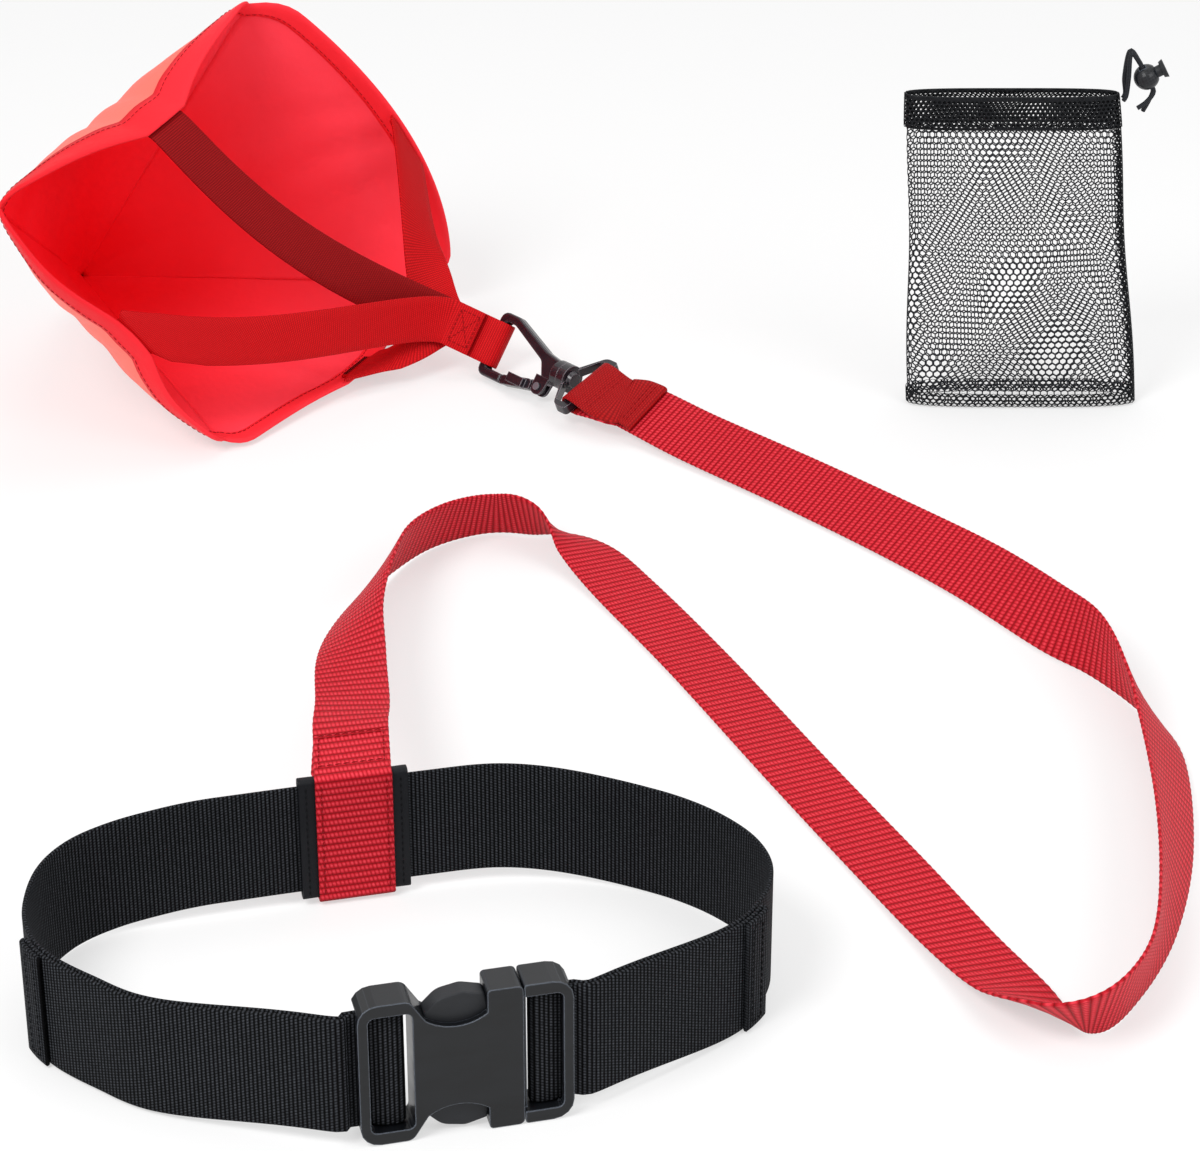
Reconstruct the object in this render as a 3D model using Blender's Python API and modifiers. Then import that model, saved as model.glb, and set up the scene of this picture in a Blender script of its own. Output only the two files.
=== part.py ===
"""Swim parachute: square drag chute, webbing bridle, swivel snap hook, webbing tether,
waist belt with a side release buckle, and the mesh storage bag that comes with it.

Metres, +Z up. The set stands on Z = 0 with the belt on edge, nearest the viewer at -Y.
"""
import math

import bmesh
import bpy
from mathutils import Matrix, Vector

for old in list(bpy.data.objects):
    bpy.data.objects.remove(old, do_unlink=True)

MM = 0.001

# General clearances
GAP = 0.3 * MM            # between pieces that touch
WEB_GAP = 0.4 * MM        # between two layers of one webbing
ORIGIN_SHIFT = (-6.6 * MM, 72.25 * MM, 0.0)  # from the drawing's zero to the outline's middle

# Waist belt
BELT_WIDTH = 50.0 * MM
BELT_THICK = 1.8 * MM
BELT_TAIL_LEFT = 158.0 * MM
BELT_TAIL_RIGHT = 104.0 * MM
BELT_HEM = 14.0 * MM
BELT_DROP = 5.2 * MM      # how far the webbing hangs below its line away from the buckle
BELT_BEARING = 14.0       # degrees, direction of the buckle and of the back of the belt

# Side release buckle
BUCKLE_X, BUCKLE_Y = -30.4 * MM, -441.7 * MM
BUCKLE_HEIGHT = BELT_WIDTH + 12.0 * MM
BUCKLE_THICK = 14.0 * MM
SOCKET_END = 21.5 * MM    # mouth of the socket, from the buckle's centre
SOCKET_BACK = 20.0 * MM   # body of the socket, from the centre towards its window
FRAME_END = 40.5 * MM     # outer end of each frame, from the centre
FRAME_BAR = 4.0 * MM      # end bar of each frame
WEB_BAR = 5.0 * MM        # bar that the webbing turns round
WEB_BAR_THICK = 3.0 * MM
PLUG_BAR_IN = 5.1 * MM    # from the plug's wall to its webbing bar
SHELL_WALL = 2.8 * MM
SHOULDER_WALL = 4.0 * MM
THUMB_RADIUS = 19.0 * MM
THUMB_DEPTH = 13.5 * MM   # how deep the thumb cut-outs run into the socket
THUMB_X = -3.5 * MM
SHOULDER_X = 8.0 * MM     # face that the prongs catch on
TONGUE_WIDTH = 6.0 * MM
TONGUE_THICK = 4.8 * MM
PLUG_WALL = 5.5 * MM
PRONG_ARM = 5.6 * MM
PRONG_LINE = BUCKLE_HEIGHT / 2 - 13.5 * MM  # prong arm's height above the buckle's centre line
BUTTON_STEP = 1.1 * MM    # how far the button stands below the frame's edge

# Sleeve that slides on the belt
SLEEVE_X, SLEEVE_Y = -80.5 * MM, -288.0 * MM
SLEEVE_LENGTH = 45.0 * MM
SLEEVE_WALL = 1.2 * MM
SLEEVE_PLAY = 1.9 * MM    # above and below the belt
SLEEVE_SLACK = 0.4 * MM   # on each face of the belt

# Tether
TETHER_WIDTH = 32.0 * MM
TETHER_THICK = 1.6 * MM
TETHER_LAP = 24.0 * MM    # sewn overlap at the sleeve
TETHER_HEM = 36.0 * MM    # sewn overlap at the hook

# Swivel base and snap hook
HOOK_X, HOOK_Y, HOOK_Z = 14.7 * MM, 170.0 * MM, 17.0 * MM
HOOK_BEARING = -48.0
BASE_LEAN = 20.0
HOOK_LEAN = 55.0
BASE_BAR = 4.4 * MM
BAR_EASE = 0.5 * MM       # slack of a webbing turn round a bar's corners
BASE_THICK = 5.0 * MM
BASE_ARM = 3.5 * MM
BASE_SPREAD = 6.5 * MM    # from the bar to where the base's arms turn in
HUB_RADIUS = 7.5 * MM
HUB_LENGTH = 5.0 * MM
HUB_X = -19.0 * MM        # hub's outer face, from the base's bar
STEM_RADIUS = 3.0 * MM
STEM_HEAD_RADIUS = 4.8 * MM
STEM_HEAD = 2.0 * MM
RUNNING = 0.35 * MM       # radial clearance of the swivel and the gate pin
COLLAR = 4.7 * MM
HOOK_THICK = 6.0 * MM
HOOK_LENGTH = 54.5 * MM   # from the collar to the end of the bow
HOOK_BAR = 5.0 * MM
HOOK_WALL = 5.0 * MM
GATE_PIN_RADIUS = 1.1 * MM
GATE_LUG_RADIUS = 4.2 * MM
GATE_TONGUE = 2.6 * MM
THUMB_RISE = 2.6 * MM

# Bridle
BRIDLE_WIDTH = 25.0 * MM
BRIDLE_THICK = 1.5 * MM
BRIDLE_STACK = 16.0 * MM  # sewn stack of strap ends at the hook
BRIDLE_SEWN = 24.0 * MM   # sewn length inside the mouth
BRIDLE_SWING = 55.0       # degrees that the bridle has turned round the hook's bow

# Chute
CLOTH = 0.9 * MM
SEAM = 0.85 * MM          # each panel stops this far short of the seam line
HEM_WIDTH = 10.0 * MM
MOUTH_BOTTOM = (-169, 142, 1.9)
MOUTH_RIGHT = (-71, 312, 16)
MOUTH_TOP = (-161, 262, 195)
MOUTH_LEFT = (-274, 111, 140)
APEX = (-297, 303, 6)
PULL = 26.0 * MM          # how far the straps draw the middle of each side in

# Storage bag
BAG_X, BAG_Y = 244.0 * MM, 191.0 * MM
BAG_WIDTH = 121.0 * MM
BAG_TOP_WIDTH = 107.0 * MM
BAG_TOP_SHIFT = -14.0 * MM  # the empty pouch stands slightly askew
BAG_HEIGHT = 173.0 * MM
BAG_FOOT = 20.0 * MM
BAG_MOUTH = 12.0 * MM
BAG_CLOTH = 1.0 * MM
BAG_HEM = 18.0 * MM
CORD = 2.4 * MM
LOCK_RADIUS = 6.6 * MM
LOCK_BORE = 3.3 * MM
PLUNGER_RADIUS = 3.0 * MM
LOCK_TRAVEL = 2.5 * MM

RED = (0.62, 0.008, 0.016)
BRIGHT_RED = (0.86, 0.012, 0.025)
DARK_RED = (0.36, 0.006, 0.012)
BLACK = (0.010, 0.011, 0.013)
GREY = (0.055, 0.05, 0.056)

parts = bpy.data.collections.new("swim_parachute")
cutters = bpy.data.collections.new("cutters")
for collection in (parts, cutters):
    bpy.context.scene.collection.children.link(collection)


def material(name, colour, roughness):
    mat = bpy.data.materials.new(name)
    mat.use_nodes = True
    shader = mat.node_tree.nodes["Principled BSDF"]
    shader.inputs["Base Color"].default_value = (*colour, 1.0)
    shader.inputs["Roughness"].default_value = roughness
    return mat


WEBBING_BLACK = material("belt_webbing", BLACK, 0.75)
PLASTIC_BLACK = material("buckle_plastic", BLACK, 0.35)
PLASTIC_GREY = material("hook_plastic", GREY, 0.3)
TETHER_RED = material("tether_webbing", RED, 0.6)
BRIDLE_RED = material("bridle_webbing", DARK_RED, 0.65)
CHUTE_RED = material("chute_cloth", BRIGHT_RED, 0.4)
SLEEVE_BLACK = material("sleeve_cloth", BLACK, 0.5)
NET_BLACK = material("bag_net", BLACK, 0.7)
CORD_BLACK = material("bag_cord", BLACK, 0.6)


def put(name, mesh, mat, frame=None, parent=None, collection=parts):
    obj = bpy.data.objects.new(name, mesh)
    collection.objects.link(obj)
    if mat:
        mesh.materials.clear()
        mesh.materials.append(mat)
    if collection is cutters:
        obj.hide_render = True
        obj.display_type = "WIRE"
    if parent:
        obj.parent = parent
    if frame is not None:
        obj.matrix_basis = frame
    return obj


def axes(name, origin, bearing, lean, upright=False):
    """An empty whose X runs along the bearing. Y is the width of what lies there: raised by the
    lean from the level, or straight up for upright pieces."""
    b = math.radians(bearing)
    x = Vector((math.cos(b), math.sin(b), 0))
    level = Vector((-math.sin(b), math.cos(b), 0))
    t = math.radians(lean)
    y = Vector((0, 0, 1)) if upright else level * math.cos(t) + Vector((0, 0, 1)) * math.sin(t)
    z = x.cross(y)
    frame = Matrix((x, y, z)).transposed().to_4x4()
    frame.translation = Vector(origin)
    empty = bpy.data.objects.new(name, None)
    parts.objects.link(empty)
    empty.matrix_world = frame
    return empty, frame


def rounded(points, radii, steps=4):
    """Outline through the points with each corner rounded to its radius."""
    out = []
    count = len(points)
    for i, point in enumerate(points):
        here = Vector(point)
        before = Vector(points[i - 1]) - here
        after = Vector(points[(i + 1) % count]) - here
        radius = radii[i] if isinstance(radii, (list, tuple)) else radii
        if radius <= 0:
            out.append(here)
            continue
        a, b = before.normalized(), after.normalized()
        half = math.acos(max(-1, min(1, a.dot(b)))) / 2
        if half > math.radians(88):
            out.append(here)
            continue
        reach = min(radius / math.tan(half), before.length * 0.48, after.length * 0.48)
        radius = reach * math.tan(half)
        centre = here + (a + b).normalized() * radius / math.sin(half)
        start, end = here + a * reach - centre, here + b * reach - centre
        sweep = start.angle_signed(end)
        for k in range(steps + 1):
            turn = -sweep * k / steps
            c, s = math.cos(turn), math.sin(turn)
            out.append(centre + Vector((start.x * c - start.y * s, start.x * s + start.y * c)))
    return out


def arc(cx, cy, radius, start, end, steps):
    """Points on a circle from one angle to the other, in degrees."""
    return [(cx + radius * math.cos(math.radians(start + (end - start) * k / steps)),
             cy + radius * math.sin(math.radians(start + (end - start) * k / steps)))
            for k in range(steps + 1)]


def plate_mesh(name, outline, thick):
    """Flat outline as a filled 2D curve with thickness, made into a welded mesh."""
    curve = bpy.data.curves.new(name + "_outline", "CURVE")
    curve.dimensions = "2D"
    curve.fill_mode = "BOTH"
    curve.extrude = thick / 2
    spline = curve.splines.new("POLY")
    spline.points.add(len(outline) - 1)
    for point, place in zip(spline.points, outline):
        point.co = (place[0], place[1], 0, 1)
    spline.use_cyclic_u = True
    guide = bpy.data.objects.new(name + "_outline", curve)
    cutters.objects.link(guide)
    depsgraph = bpy.context.evaluated_depsgraph_get()
    mesh = bpy.data.meshes.new_from_object(guide.evaluated_get(depsgraph))
    mesh.name = name
    bpy.data.objects.remove(guide, do_unlink=True)
    bpy.data.curves.remove(curve)
    bm = bmesh.new()
    bm.from_mesh(mesh)
    bmesh.ops.remove_doubles(bm, verts=bm.verts, dist=0.00001)
    bmesh.ops.dissolve_limit(bm, angle_limit=0.01, verts=bm.verts, edges=bm.edges)
    bmesh.ops.recalc_face_normals(bm, faces=bm.faces)
    bm.to_mesh(mesh)
    bm.free()
    return mesh


def box_mesh(name, low, high):
    bm = bmesh.new()
    bmesh.ops.create_cube(bm, size=1)
    size = [high[i] - low[i] for i in range(3)]
    middle = [(high[i] + low[i]) / 2 for i in range(3)]
    bmesh.ops.scale(bm, vec=size, verts=bm.verts)
    bmesh.ops.translate(bm, vec=middle, verts=bm.verts)
    mesh = bpy.data.meshes.new(name)
    bm.to_mesh(mesh)
    bm.free()
    return mesh


def rod_mesh(name, radius, start, end, segments=24, radius_end=None):
    """Cylinder or cone between two points."""
    start, end = Vector(start), Vector(end)
    bm = bmesh.new()
    bmesh.ops.create_cone(bm, cap_ends=True, segments=segments, radius1=radius,
                          radius2=radius if radius_end is None else radius_end,
                          depth=(end - start).length)
    turn = (end - start).to_track_quat("Z", "Y").to_matrix().to_4x4()
    turn.translation = (start + end) / 2
    bmesh.ops.transform(bm, matrix=turn, verts=bm.verts)
    mesh = bpy.data.meshes.new(name)
    bm.to_mesh(mesh)
    bm.free()
    return mesh


def boolean(obj, tool_mesh, operation, frame=None, parent=None):
    """Cut the tool from the object, or join it on, in the object's own axes."""
    tool = put(f"{obj.name}_{operation.lower()}_{len(obj.modifiers)}", tool_mesh, None,
               frame if frame is not None else obj.matrix_basis.copy(),
               parent if parent else obj.parent, cutters)
    modifier = obj.modifiers.new(operation.title(), "BOOLEAN")
    modifier.operation = operation
    modifier.object = tool
    modifier.solver = "EXACT"


def bevel(obj, width, segments=2, angle=40):
    modifier = obj.modifiers.new("Bevel", "BEVEL")
    modifier.width = width
    modifier.segments = segments
    modifier.limit_method = "ANGLE"
    modifier.angle_limit = math.radians(angle)
    modifier.use_clamp_overlap = True


def spline(points, step):
    """Catmull-Rom curve through the points, all their values carried along, read every step."""
    dense = []
    last = len(points) - 1
    for i in range(last):
        p0, p1 = points[max(i - 1, 0)], points[i]
        p2, p3 = points[i + 1], points[min(i + 2, last)]
        for k in range(20):
            t = k / 20
            dense.append([0.5 * (2 * b + (c - a) * t + (2 * a - 5 * b + 4 * c - d) * t * t
                                 + (3 * b - a - 3 * c + d) * t ** 3)
                          for a, b, c, d in zip(p0, p1, p2, p3)])
    dense.append(list(points[-1]))
    length = [0.0]
    for a, b in zip(dense, dense[1:]):
        length.append(length[-1] + math.dist(a[:3], b[:3]))
    count = max(2, round(length[-1] / step))
    out, j = [], 0
    for k in range(count + 1):
        want = length[-1] * k / count
        while j < len(length) - 2 and length[j + 1] < want:
            j += 1
        span = length[j + 1] - length[j]
        f = 0 if span == 0 else (want - length[j]) / span
        out.append([a + (b - a) * f for a, b in zip(dense[j], dense[j + 1])])
    return out


def smooth(t):
    t = max(0.0, min(1.0, t))
    return t * t * (3 - 2 * t)


def ribbon(name, rails, thick, mat, parent=None, closed=False):
    """Webbing or cloth: a surface lofted through rows of points, given its thickness."""
    bm = bmesh.new()
    rows = [[bm.verts.new(p) for p in rail] for rail in rails]
    count = len(rows)
    for i in range(count if closed else count - 1):
        a, b = rows[i], rows[(i + 1) % count]
        for j in range(len(a) - 1):
            bm.faces.new((a[j], a[j + 1], b[j + 1], b[j]))
    bmesh.ops.recalc_face_normals(bm, faces=bm.faces)
    mesh = bpy.data.meshes.new(name)
    bm.to_mesh(mesh)
    bm.free()
    for face in mesh.polygons:
        face.use_smooth = True
    obj = put(name, mesh, mat, parent=parent)
    modifier = obj.modifiers.new("Thickness", "SOLIDIFY")
    modifier.thickness = thick
    modifier.offset = 0
    modifier.use_even_offset = False
    modifier.use_rim = True
    return obj


def tube(name, points, diameter, mat, resolution=2):
    curve = bpy.data.curves.new(name, "CURVE")
    curve.dimensions = "3D"
    curve.bevel_depth = diameter / 2
    curve.bevel_resolution = resolution
    curve.use_fill_caps = True
    line = curve.splines.new("POLY")
    line.points.add(len(points) - 1)
    for point, place in zip(line.points, points):
        point.co = (*place, 1)
    curve.materials.append(mat)
    obj = bpy.data.objects.new(name, curve)
    parts.objects.link(obj)
    return obj


# Side release buckle, in its own axes: X along the belt, Y up, Z out of the front

MID_Z = BUCKLE_HEIGHT / 2
buckle, buckle_frame = axes("buckle_axes", (BUCKLE_X, BUCKLE_Y, MID_Z), BELT_BEARING, 0, True)
HALF_H = BUCKLE_HEIGHT / 2
HALF_T = BUCKLE_THICK / 2
WINDOW_H = BELT_WIDTH / 2 + 0.75 * MM
CAVITY_H = HALF_H - SHOULDER_WALL
CAVITY_T = HALF_T - SHELL_WALL
TURN_RADIUS = WEB_BAR_THICK / 2 + WEB_GAP + BELT_THICK / 2
BAR_FRONT = TURN_RADIUS + BELT_THICK / 2 - 0.45 * MM
SOCKET_BAR = -(SOCKET_BACK + 7.5 * MM)
thumb_y = HALF_H - THUMB_DEPTH + THUMB_RADIUS
thumb_left = THUMB_X - 11.5 * MM
thumb_angle = math.degrees(math.asin((SHOULDER_X - THUMB_X) / THUMB_RADIUS))
thumb_arc = arc(THUMB_X, thumb_y, THUMB_RADIUS, -90 + thumb_angle, -90 - thumb_angle, 12)
upper = [(SOCKET_END, HALF_H), (SHOULDER_X, HALF_H)]
side = rounded([(SOCKET_END, -1 * MM), (SOCKET_END, HALF_H), (SHOULDER_X, HALF_H), thumb_arc[0]],
               [0, 2.2 * MM, 1.6 * MM, 0])[1:]
far = rounded([thumb_arc[-1], (-SOCKET_BACK - 1.0 * MM, HALF_H), (-FRAME_END, HALF_H),
               (-FRAME_END, -1 * MM)], [0, 4.0 * MM, 7.5 * MM, 0])[1:-1]
top_line = [tuple(p) for p in side[:-1]] + thumb_arc + [tuple(p) for p in far]
socket_outline = top_line + [(x, -y) for x, y in reversed(top_line)]

socket = put("buckle_socket", plate_mesh("buckle_socket", socket_outline, BUCKLE_THICK),
             PLASTIC_BLACK, parent=buckle)
boolean(socket, box_mesh("cavity", (-SOCKET_BACK + 4.5 * MM, -CAVITY_H, -CAVITY_T),
                         (SOCKET_END + 5 * MM, CAVITY_H, CAVITY_T)), "DIFFERENCE")
window = rounded([(-FRAME_END + FRAME_BAR, -WINDOW_H), (-SOCKET_BACK, -WINDOW_H),
                  (-SOCKET_BACK, WINDOW_H), (-FRAME_END + FRAME_BAR, WINDOW_H)], 2.5 * MM)
boolean(socket, plate_mesh("window", window, BUCKLE_THICK + 4 * MM), "DIFFERENCE")
boolean(socket, box_mesh("web_path", (-FRAME_END - 3 * MM, -WINDOW_H, -HALF_T - 2 * MM),
                         (-FRAME_END + FRAME_BAR + 1 * MM, WINDOW_H, BAR_FRONT)), "DIFFERENCE")
boolean(socket, box_mesh("web_bar", (SOCKET_BAR - WEB_BAR / 2, -WINDOW_H - 2 * MM,
                                     -WEB_BAR_THICK / 2),
                         (SOCKET_BAR + WEB_BAR / 2, WINDOW_H + 2 * MM, WEB_BAR_THICK / 2)), "UNION")
bevel(socket, 0.8 * MM, 1, 50)

PLUG_X = SOCKET_END + GAP
PLUG_WINDOW = PLUG_X + 1.2 * MM
PLUG_BAR = PLUG_WINDOW + PLUG_BAR_IN + WEB_BAR / 2 - 0.4 * MM
plug_outline = rounded([(PLUG_X, -HALF_H), (FRAME_END, -HALF_H), (FRAME_END, HALF_H),
                        (PLUG_X, HALF_H)], [1.2 * MM, 8 * MM, 8 * MM, 1.2 * MM])
plug = put("buckle_plug", plate_mesh("buckle_plug", plug_outline, BUCKLE_THICK),
           PLASTIC_BLACK, parent=buckle)
plug_window = rounded([(PLUG_X - 3 * MM, -WINDOW_H), (FRAME_END - FRAME_BAR, -WINDOW_H),
                       (FRAME_END - FRAME_BAR, WINDOW_H), (PLUG_X - 3 * MM, WINDOW_H)], 2.5 * MM)
boolean(plug, plate_mesh("plug_window", plug_window, BUCKLE_THICK + 4 * MM), "DIFFERENCE")
boolean(plug, box_mesh("plug_web_path", (FRAME_END - FRAME_BAR - 1 * MM, -WINDOW_H,
                                         -HALF_T - 2 * MM),
                       (FRAME_END + 3 * MM, WINDOW_H, BAR_FRONT)), "DIFFERENCE")
boolean(plug, box_mesh("plug_bar", (PLUG_BAR - WEB_BAR / 2, -WINDOW_H - 2 * MM,
                                    -WEB_BAR_THICK / 2),
                       (PLUG_BAR + WEB_BAR / 2, WINDOW_H + 2 * MM, WEB_BAR_THICK / 2)), "UNION")
WALL_X = PLUG_WINDOW - PLUG_WALL
boolean(plug, box_mesh("plug_wall", (WALL_X, -CAVITY_H + GAP, -CAVITY_T + GAP),
                       (PLUG_WINDOW, CAVITY_H - GAP, CAVITY_T - GAP)), "UNION")
boolean(plug, box_mesh("tongue", (-SOCKET_BACK + 8 * MM, -TONGUE_WIDTH / 2, -TONGUE_THICK / 2),
                       (WALL_X + 1 * MM, TONGUE_WIDTH / 2, TONGUE_THICK / 2)), "UNION")
bevel(plug, 0.6 * MM, 1, 50)

# Flexing prongs. Each one's origin is on the hinge line at its root.
HINGE_X = WALL_X - GAP - PRONG_ARM / 2
BUTTON_LEFT = -SOCKET_BACK + 4.5 * MM + GAP
arm = PRONG_ARM / 2
button_top = HALF_H - BUTTON_STEP
prong_line = rounded([
    (0, -arm), (0, arm), (SHOULDER_X - HINGE_X + 1.2 * MM, arm),
    (SHOULDER_X - GAP - HINGE_X, button_top - 2.2 * MM - PRONG_LINE),
    (THUMB_X + 3 * MM - HINGE_X, button_top - PRONG_LINE),
    (THUMB_X - 6 * MM - HINGE_X, button_top - 1.7 * MM - PRONG_LINE),
    (BUTTON_LEFT - HINGE_X, button_top - 7.5 * MM - PRONG_LINE),
    (BUTTON_LEFT - HINGE_X, -arm), (BUTTON_LEFT - HINGE_X + 8 * MM, -arm)],
    [arm * 0.98, arm * 0.98, 1 * MM, 1.2 * MM, 6 * MM, 8 * MM, 2 * MM, 1.5 * MM, 0])
prong_upper = put("prong_upper", plate_mesh("prong_upper", prong_line, 2 * (CAVITY_T - GAP)),
                  PLASTIC_BLACK, Matrix.Translation((HINGE_X, PRONG_LINE, 0)), buckle)
prong_lower = put("prong_lower",
                  plate_mesh("prong_lower", [(x, -y) for x, y in prong_line],
                             2 * (CAVITY_T - GAP)),
                  PLASTIC_BLACK, Matrix.Translation((HINGE_X, -PRONG_LINE, 0)), buckle)
for prong in (prong_upper, prong_lower):
    bevel(prong, 0.7 * MM, 2, 50)


# Belt webbing. Its line is drawn on the floor; the buckle and the sleeve sit on straight runs.

bearing = math.radians(BELT_BEARING)
ALONG = Vector((math.cos(bearing), math.sin(bearing)))
OUTWARD = Vector((math.sin(bearing), -math.cos(bearing)))
buckle_at = Vector((BUCKLE_X, BUCKLE_Y))
sleeve_at = Vector((SLEEVE_X, SLEEVE_Y))
SPLIT = sleeve_at - ALONG * (SLEEVE_LENGTH / 2 - 2.0 * MM)
LAYER = (BELT_THICK + WEB_GAP) / 2


def belt_run(points, start_straight, end_straight):
    line = list(start_straight) + [Vector(p) * MM for p in points] + list(end_straight)
    return [Vector(p[:2]) for p in spline([(v.x, v.y, 0) for v in line], 7 * MM)]


def drop(p):
    """Height of the belt's middle: on the buckle's line at the buckle and the sleeve."""
    near = min((p - buckle_at).length, (p - sleeve_at).length)
    return MID_Z - BELT_DROP * smooth((near - 55 * MM) / (70 * MM))


def outward(path, i):
    tangent = (path[min(i + 1, len(path) - 1)] - path[max(i - 1, 0)]).normalized()
    normal = Vector((tangent.y, -tangent.x))
    centre = (buckle_at + sleeve_at) / 2 + Vector((-12 * MM, 0))
    return normal if normal.dot(path[i] - centre) > 0 else -normal


def belt_strip(name, path, turn, tail):
    """Runs from the sleeve to the buckle's bar, round it, and back outside as the tail, whose
    end is folded out and sewn down."""
    turn_at = buckle_at + ALONG * turn
    away = (path[-2] - turn_at).normalized()
    run = [p for p in path if (p - turn_at).length > 16 * MM]
    run += [turn_at + away * d * MM for d in (14, 11, 8, 5.5, 3.5)]
    points = []

    def offset_at(p):
        past_bar = (p - turn_at).length - WEB_BAR + WEB_BAR_THICK / 2
        return LAYER + (TURN_RADIUS - LAYER) * (1 - smooth(past_bar / (7 * MM)))

    for i, p in enumerate(run):
        points.append(p - outward(run, i) * offset_at(p))
    for k in range(9):
        a = math.pi * k / 8
        points.append(turn_at - away * math.sin(a) * TURN_RADIUS
                      - OUTWARD * math.cos(a) * TURN_RADIUS)
    length, i = 0.0, len(run) - 1
    while length < tail and i > 1:
        points.append(run[i] + outward(run, i) * offset_at(run[i]))
        length += (run[i] - run[i - 1]).length
        i -= 1
    normal = outward(run, i + 1)
    step = (run[i] - run[i + 1]).normalized()
    fold = run[i + 1] + normal * 2 * LAYER + step * 1 * MM
    for k in range(5):
        a = math.pi * k / 4
        points.append(fold - normal * math.cos(a) * LAYER + step * math.sin(a) * LAYER)
    done = 0.0
    while done < BELT_HEM and i < len(run) - 2:
        i += 1
        points.append(run[i] + outward(run, i) * 3 * LAYER)
        done += (run[i + 1] - run[i]).length
    half = BELT_WIDTH / 2
    rails = []
    for p in points:
        z = drop(p)
        rails.append([(p.x, p.y, z - half), (p.x, p.y, z + half)])
    return ribbon(name, rails, BELT_THICK, WEBBING_BLACK)


def on_belt(centre, distance):
    return centre + ALONG * distance


LEFT_TURN = SOCKET_BAR + WEB_BAR / 2 - WEB_BAR_THICK / 2 + 2 * GAP
RIGHT_TURN = PLUG_BAR - WEB_BAR / 2 + WEB_BAR_THICK / 2 - 2 * GAP
left_path = belt_run(
    [(-131, -301), (-155, -307.5), (-176, -315), (-191, -326), (-200, -343), (-202.5, -364),
     (-200, -385), (-190, -404), (-170, -421), (-143, -437)],
    [SPLIT, sleeve_at - ALONG * 28 * MM],
    [on_belt(buckle_at, -FRAME_END - 12 * MM), on_belt(buckle_at, -FRAME_END - 3 * MM),
     on_belt(buckle_at, -FRAME_END + 5 * MM), on_belt(buckle_at, LEFT_TURN)])
right_path = belt_run(
    [(-26, -275.5), (2, -275.5), (28, -281), (50, -291), (69, -306), (83, -325), (88, -346),
     (83, -368), (67, -391)],
    [SPLIT + ALONG * GAP, sleeve_at + ALONG * 28 * MM],
    [on_belt(buckle_at, FRAME_END + 12 * MM), on_belt(buckle_at, FRAME_END + 3 * MM),
     on_belt(buckle_at, FRAME_END - 5 * MM), on_belt(buckle_at, RIGHT_TURN)])
belt_left = belt_strip("belt_webbing_left", left_path, LEFT_TURN, BELT_TAIL_LEFT)
belt_right = belt_strip("belt_webbing_right", right_path, RIGHT_TURN, BELT_TAIL_RIGHT)


# Sleeve

SLEEVE_HALF_H = BELT_WIDTH / 2 + SLEEVE_PLAY + SLEEVE_WALL
SLEEVE_HALF_T = BELT_THICK / 2 + SLEEVE_SLACK + SLEEVE_WALL
sleeve_axes, sleeve_frame = axes("sleeve_axes", (SLEEVE_X, SLEEVE_Y, MID_Z), BELT_BEARING, 0, True)
LAYER_IN = LAYER          # the belt's inner layer lies this far inside the belt's line
sleeve_mid = LAYER_IN     # towards the middle of the ring, which is out of the sleeve's front
half_l = SLEEVE_LENGTH / 2
sleeve = put("sleeve", box_mesh("sleeve", (-half_l, -SLEEVE_HALF_H, sleeve_mid - SLEEVE_HALF_T),
                                (half_l, SLEEVE_HALF_H, sleeve_mid + SLEEVE_HALF_T)),
             SLEEVE_BLACK, parent=sleeve_axes)
bevel(sleeve, 1.0 * MM, 3, 50)
boolean(sleeve, box_mesh("sleeve_bore",
                         (-half_l - 2 * MM, -SLEEVE_HALF_H + SLEEVE_WALL,
                          sleeve_mid - SLEEVE_HALF_T + SLEEVE_WALL),
                         (half_l + 2 * MM, SLEEVE_HALF_H - SLEEVE_WALL,
                          sleeve_mid + SLEEVE_HALF_T - SLEEVE_WALL)), "DIFFERENCE")


# Swivel base at the tether's end, in its own axes: X towards the tether, Y across, Z up

base_axes, base_frame = axes("base_axes", (HOOK_X, HOOK_Y, HOOK_Z), HOOK_BEARING, BASE_LEAN)
slot_h = TETHER_WIDTH / 2 + 0.9 * MM
base_h = slot_h + BASE_ARM
base_turn = math.hypot(BASE_THICK, BASE_BAR) / 2 + BAR_EASE + TETHER_THICK / 2
hub_in = HUB_X + HUB_LENGTH
base_line = rounded([
    (BASE_BAR / 2, -base_h), (BASE_BAR / 2, base_h), (-BASE_SPREAD, base_h),
    (HUB_X + 3.0 * MM, HUB_RADIUS * 0.8), (HUB_X + 3.0 * MM, -HUB_RADIUS * 0.8),
    (-BASE_SPREAD, -base_h)], [2 * MM, 2 * MM, 5 * MM, 0, 0, 5 * MM])
base = put("swivel_base", plate_mesh("swivel_base", base_line, BASE_THICK), PLASTIC_GREY,
           parent=base_axes)
boolean(base, rod_mesh("hub", HUB_RADIUS, (HUB_X, 0, 0), (hub_in, 0, 0), 32), "UNION")
base_slot = rounded([
    (-BASE_BAR / 2, -slot_h), (-BASE_BAR / 2, slot_h), (-BASE_SPREAD - 1.2 * MM, slot_h),
    (hub_in, STEM_HEAD_RADIUS + 0.8 * MM), (hub_in, -STEM_HEAD_RADIUS - 0.8 * MM),
    (-BASE_SPREAD - 1.2 * MM, -slot_h)], [0, 0, 2 * MM, 0, 0, 2 * MM])
boolean(base, plate_mesh("base_slot", base_slot, 30 * MM), "DIFFERENCE")
boolean(base, rod_mesh("hub_bore", STEM_RADIUS + RUNNING, (HUB_X - 4 * MM, 0, 0),
                       (hub_in + 2 * MM, 0, 0), 32), "DIFFERENCE")
bevel(base, 0.6 * MM, 1, 55)


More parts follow.
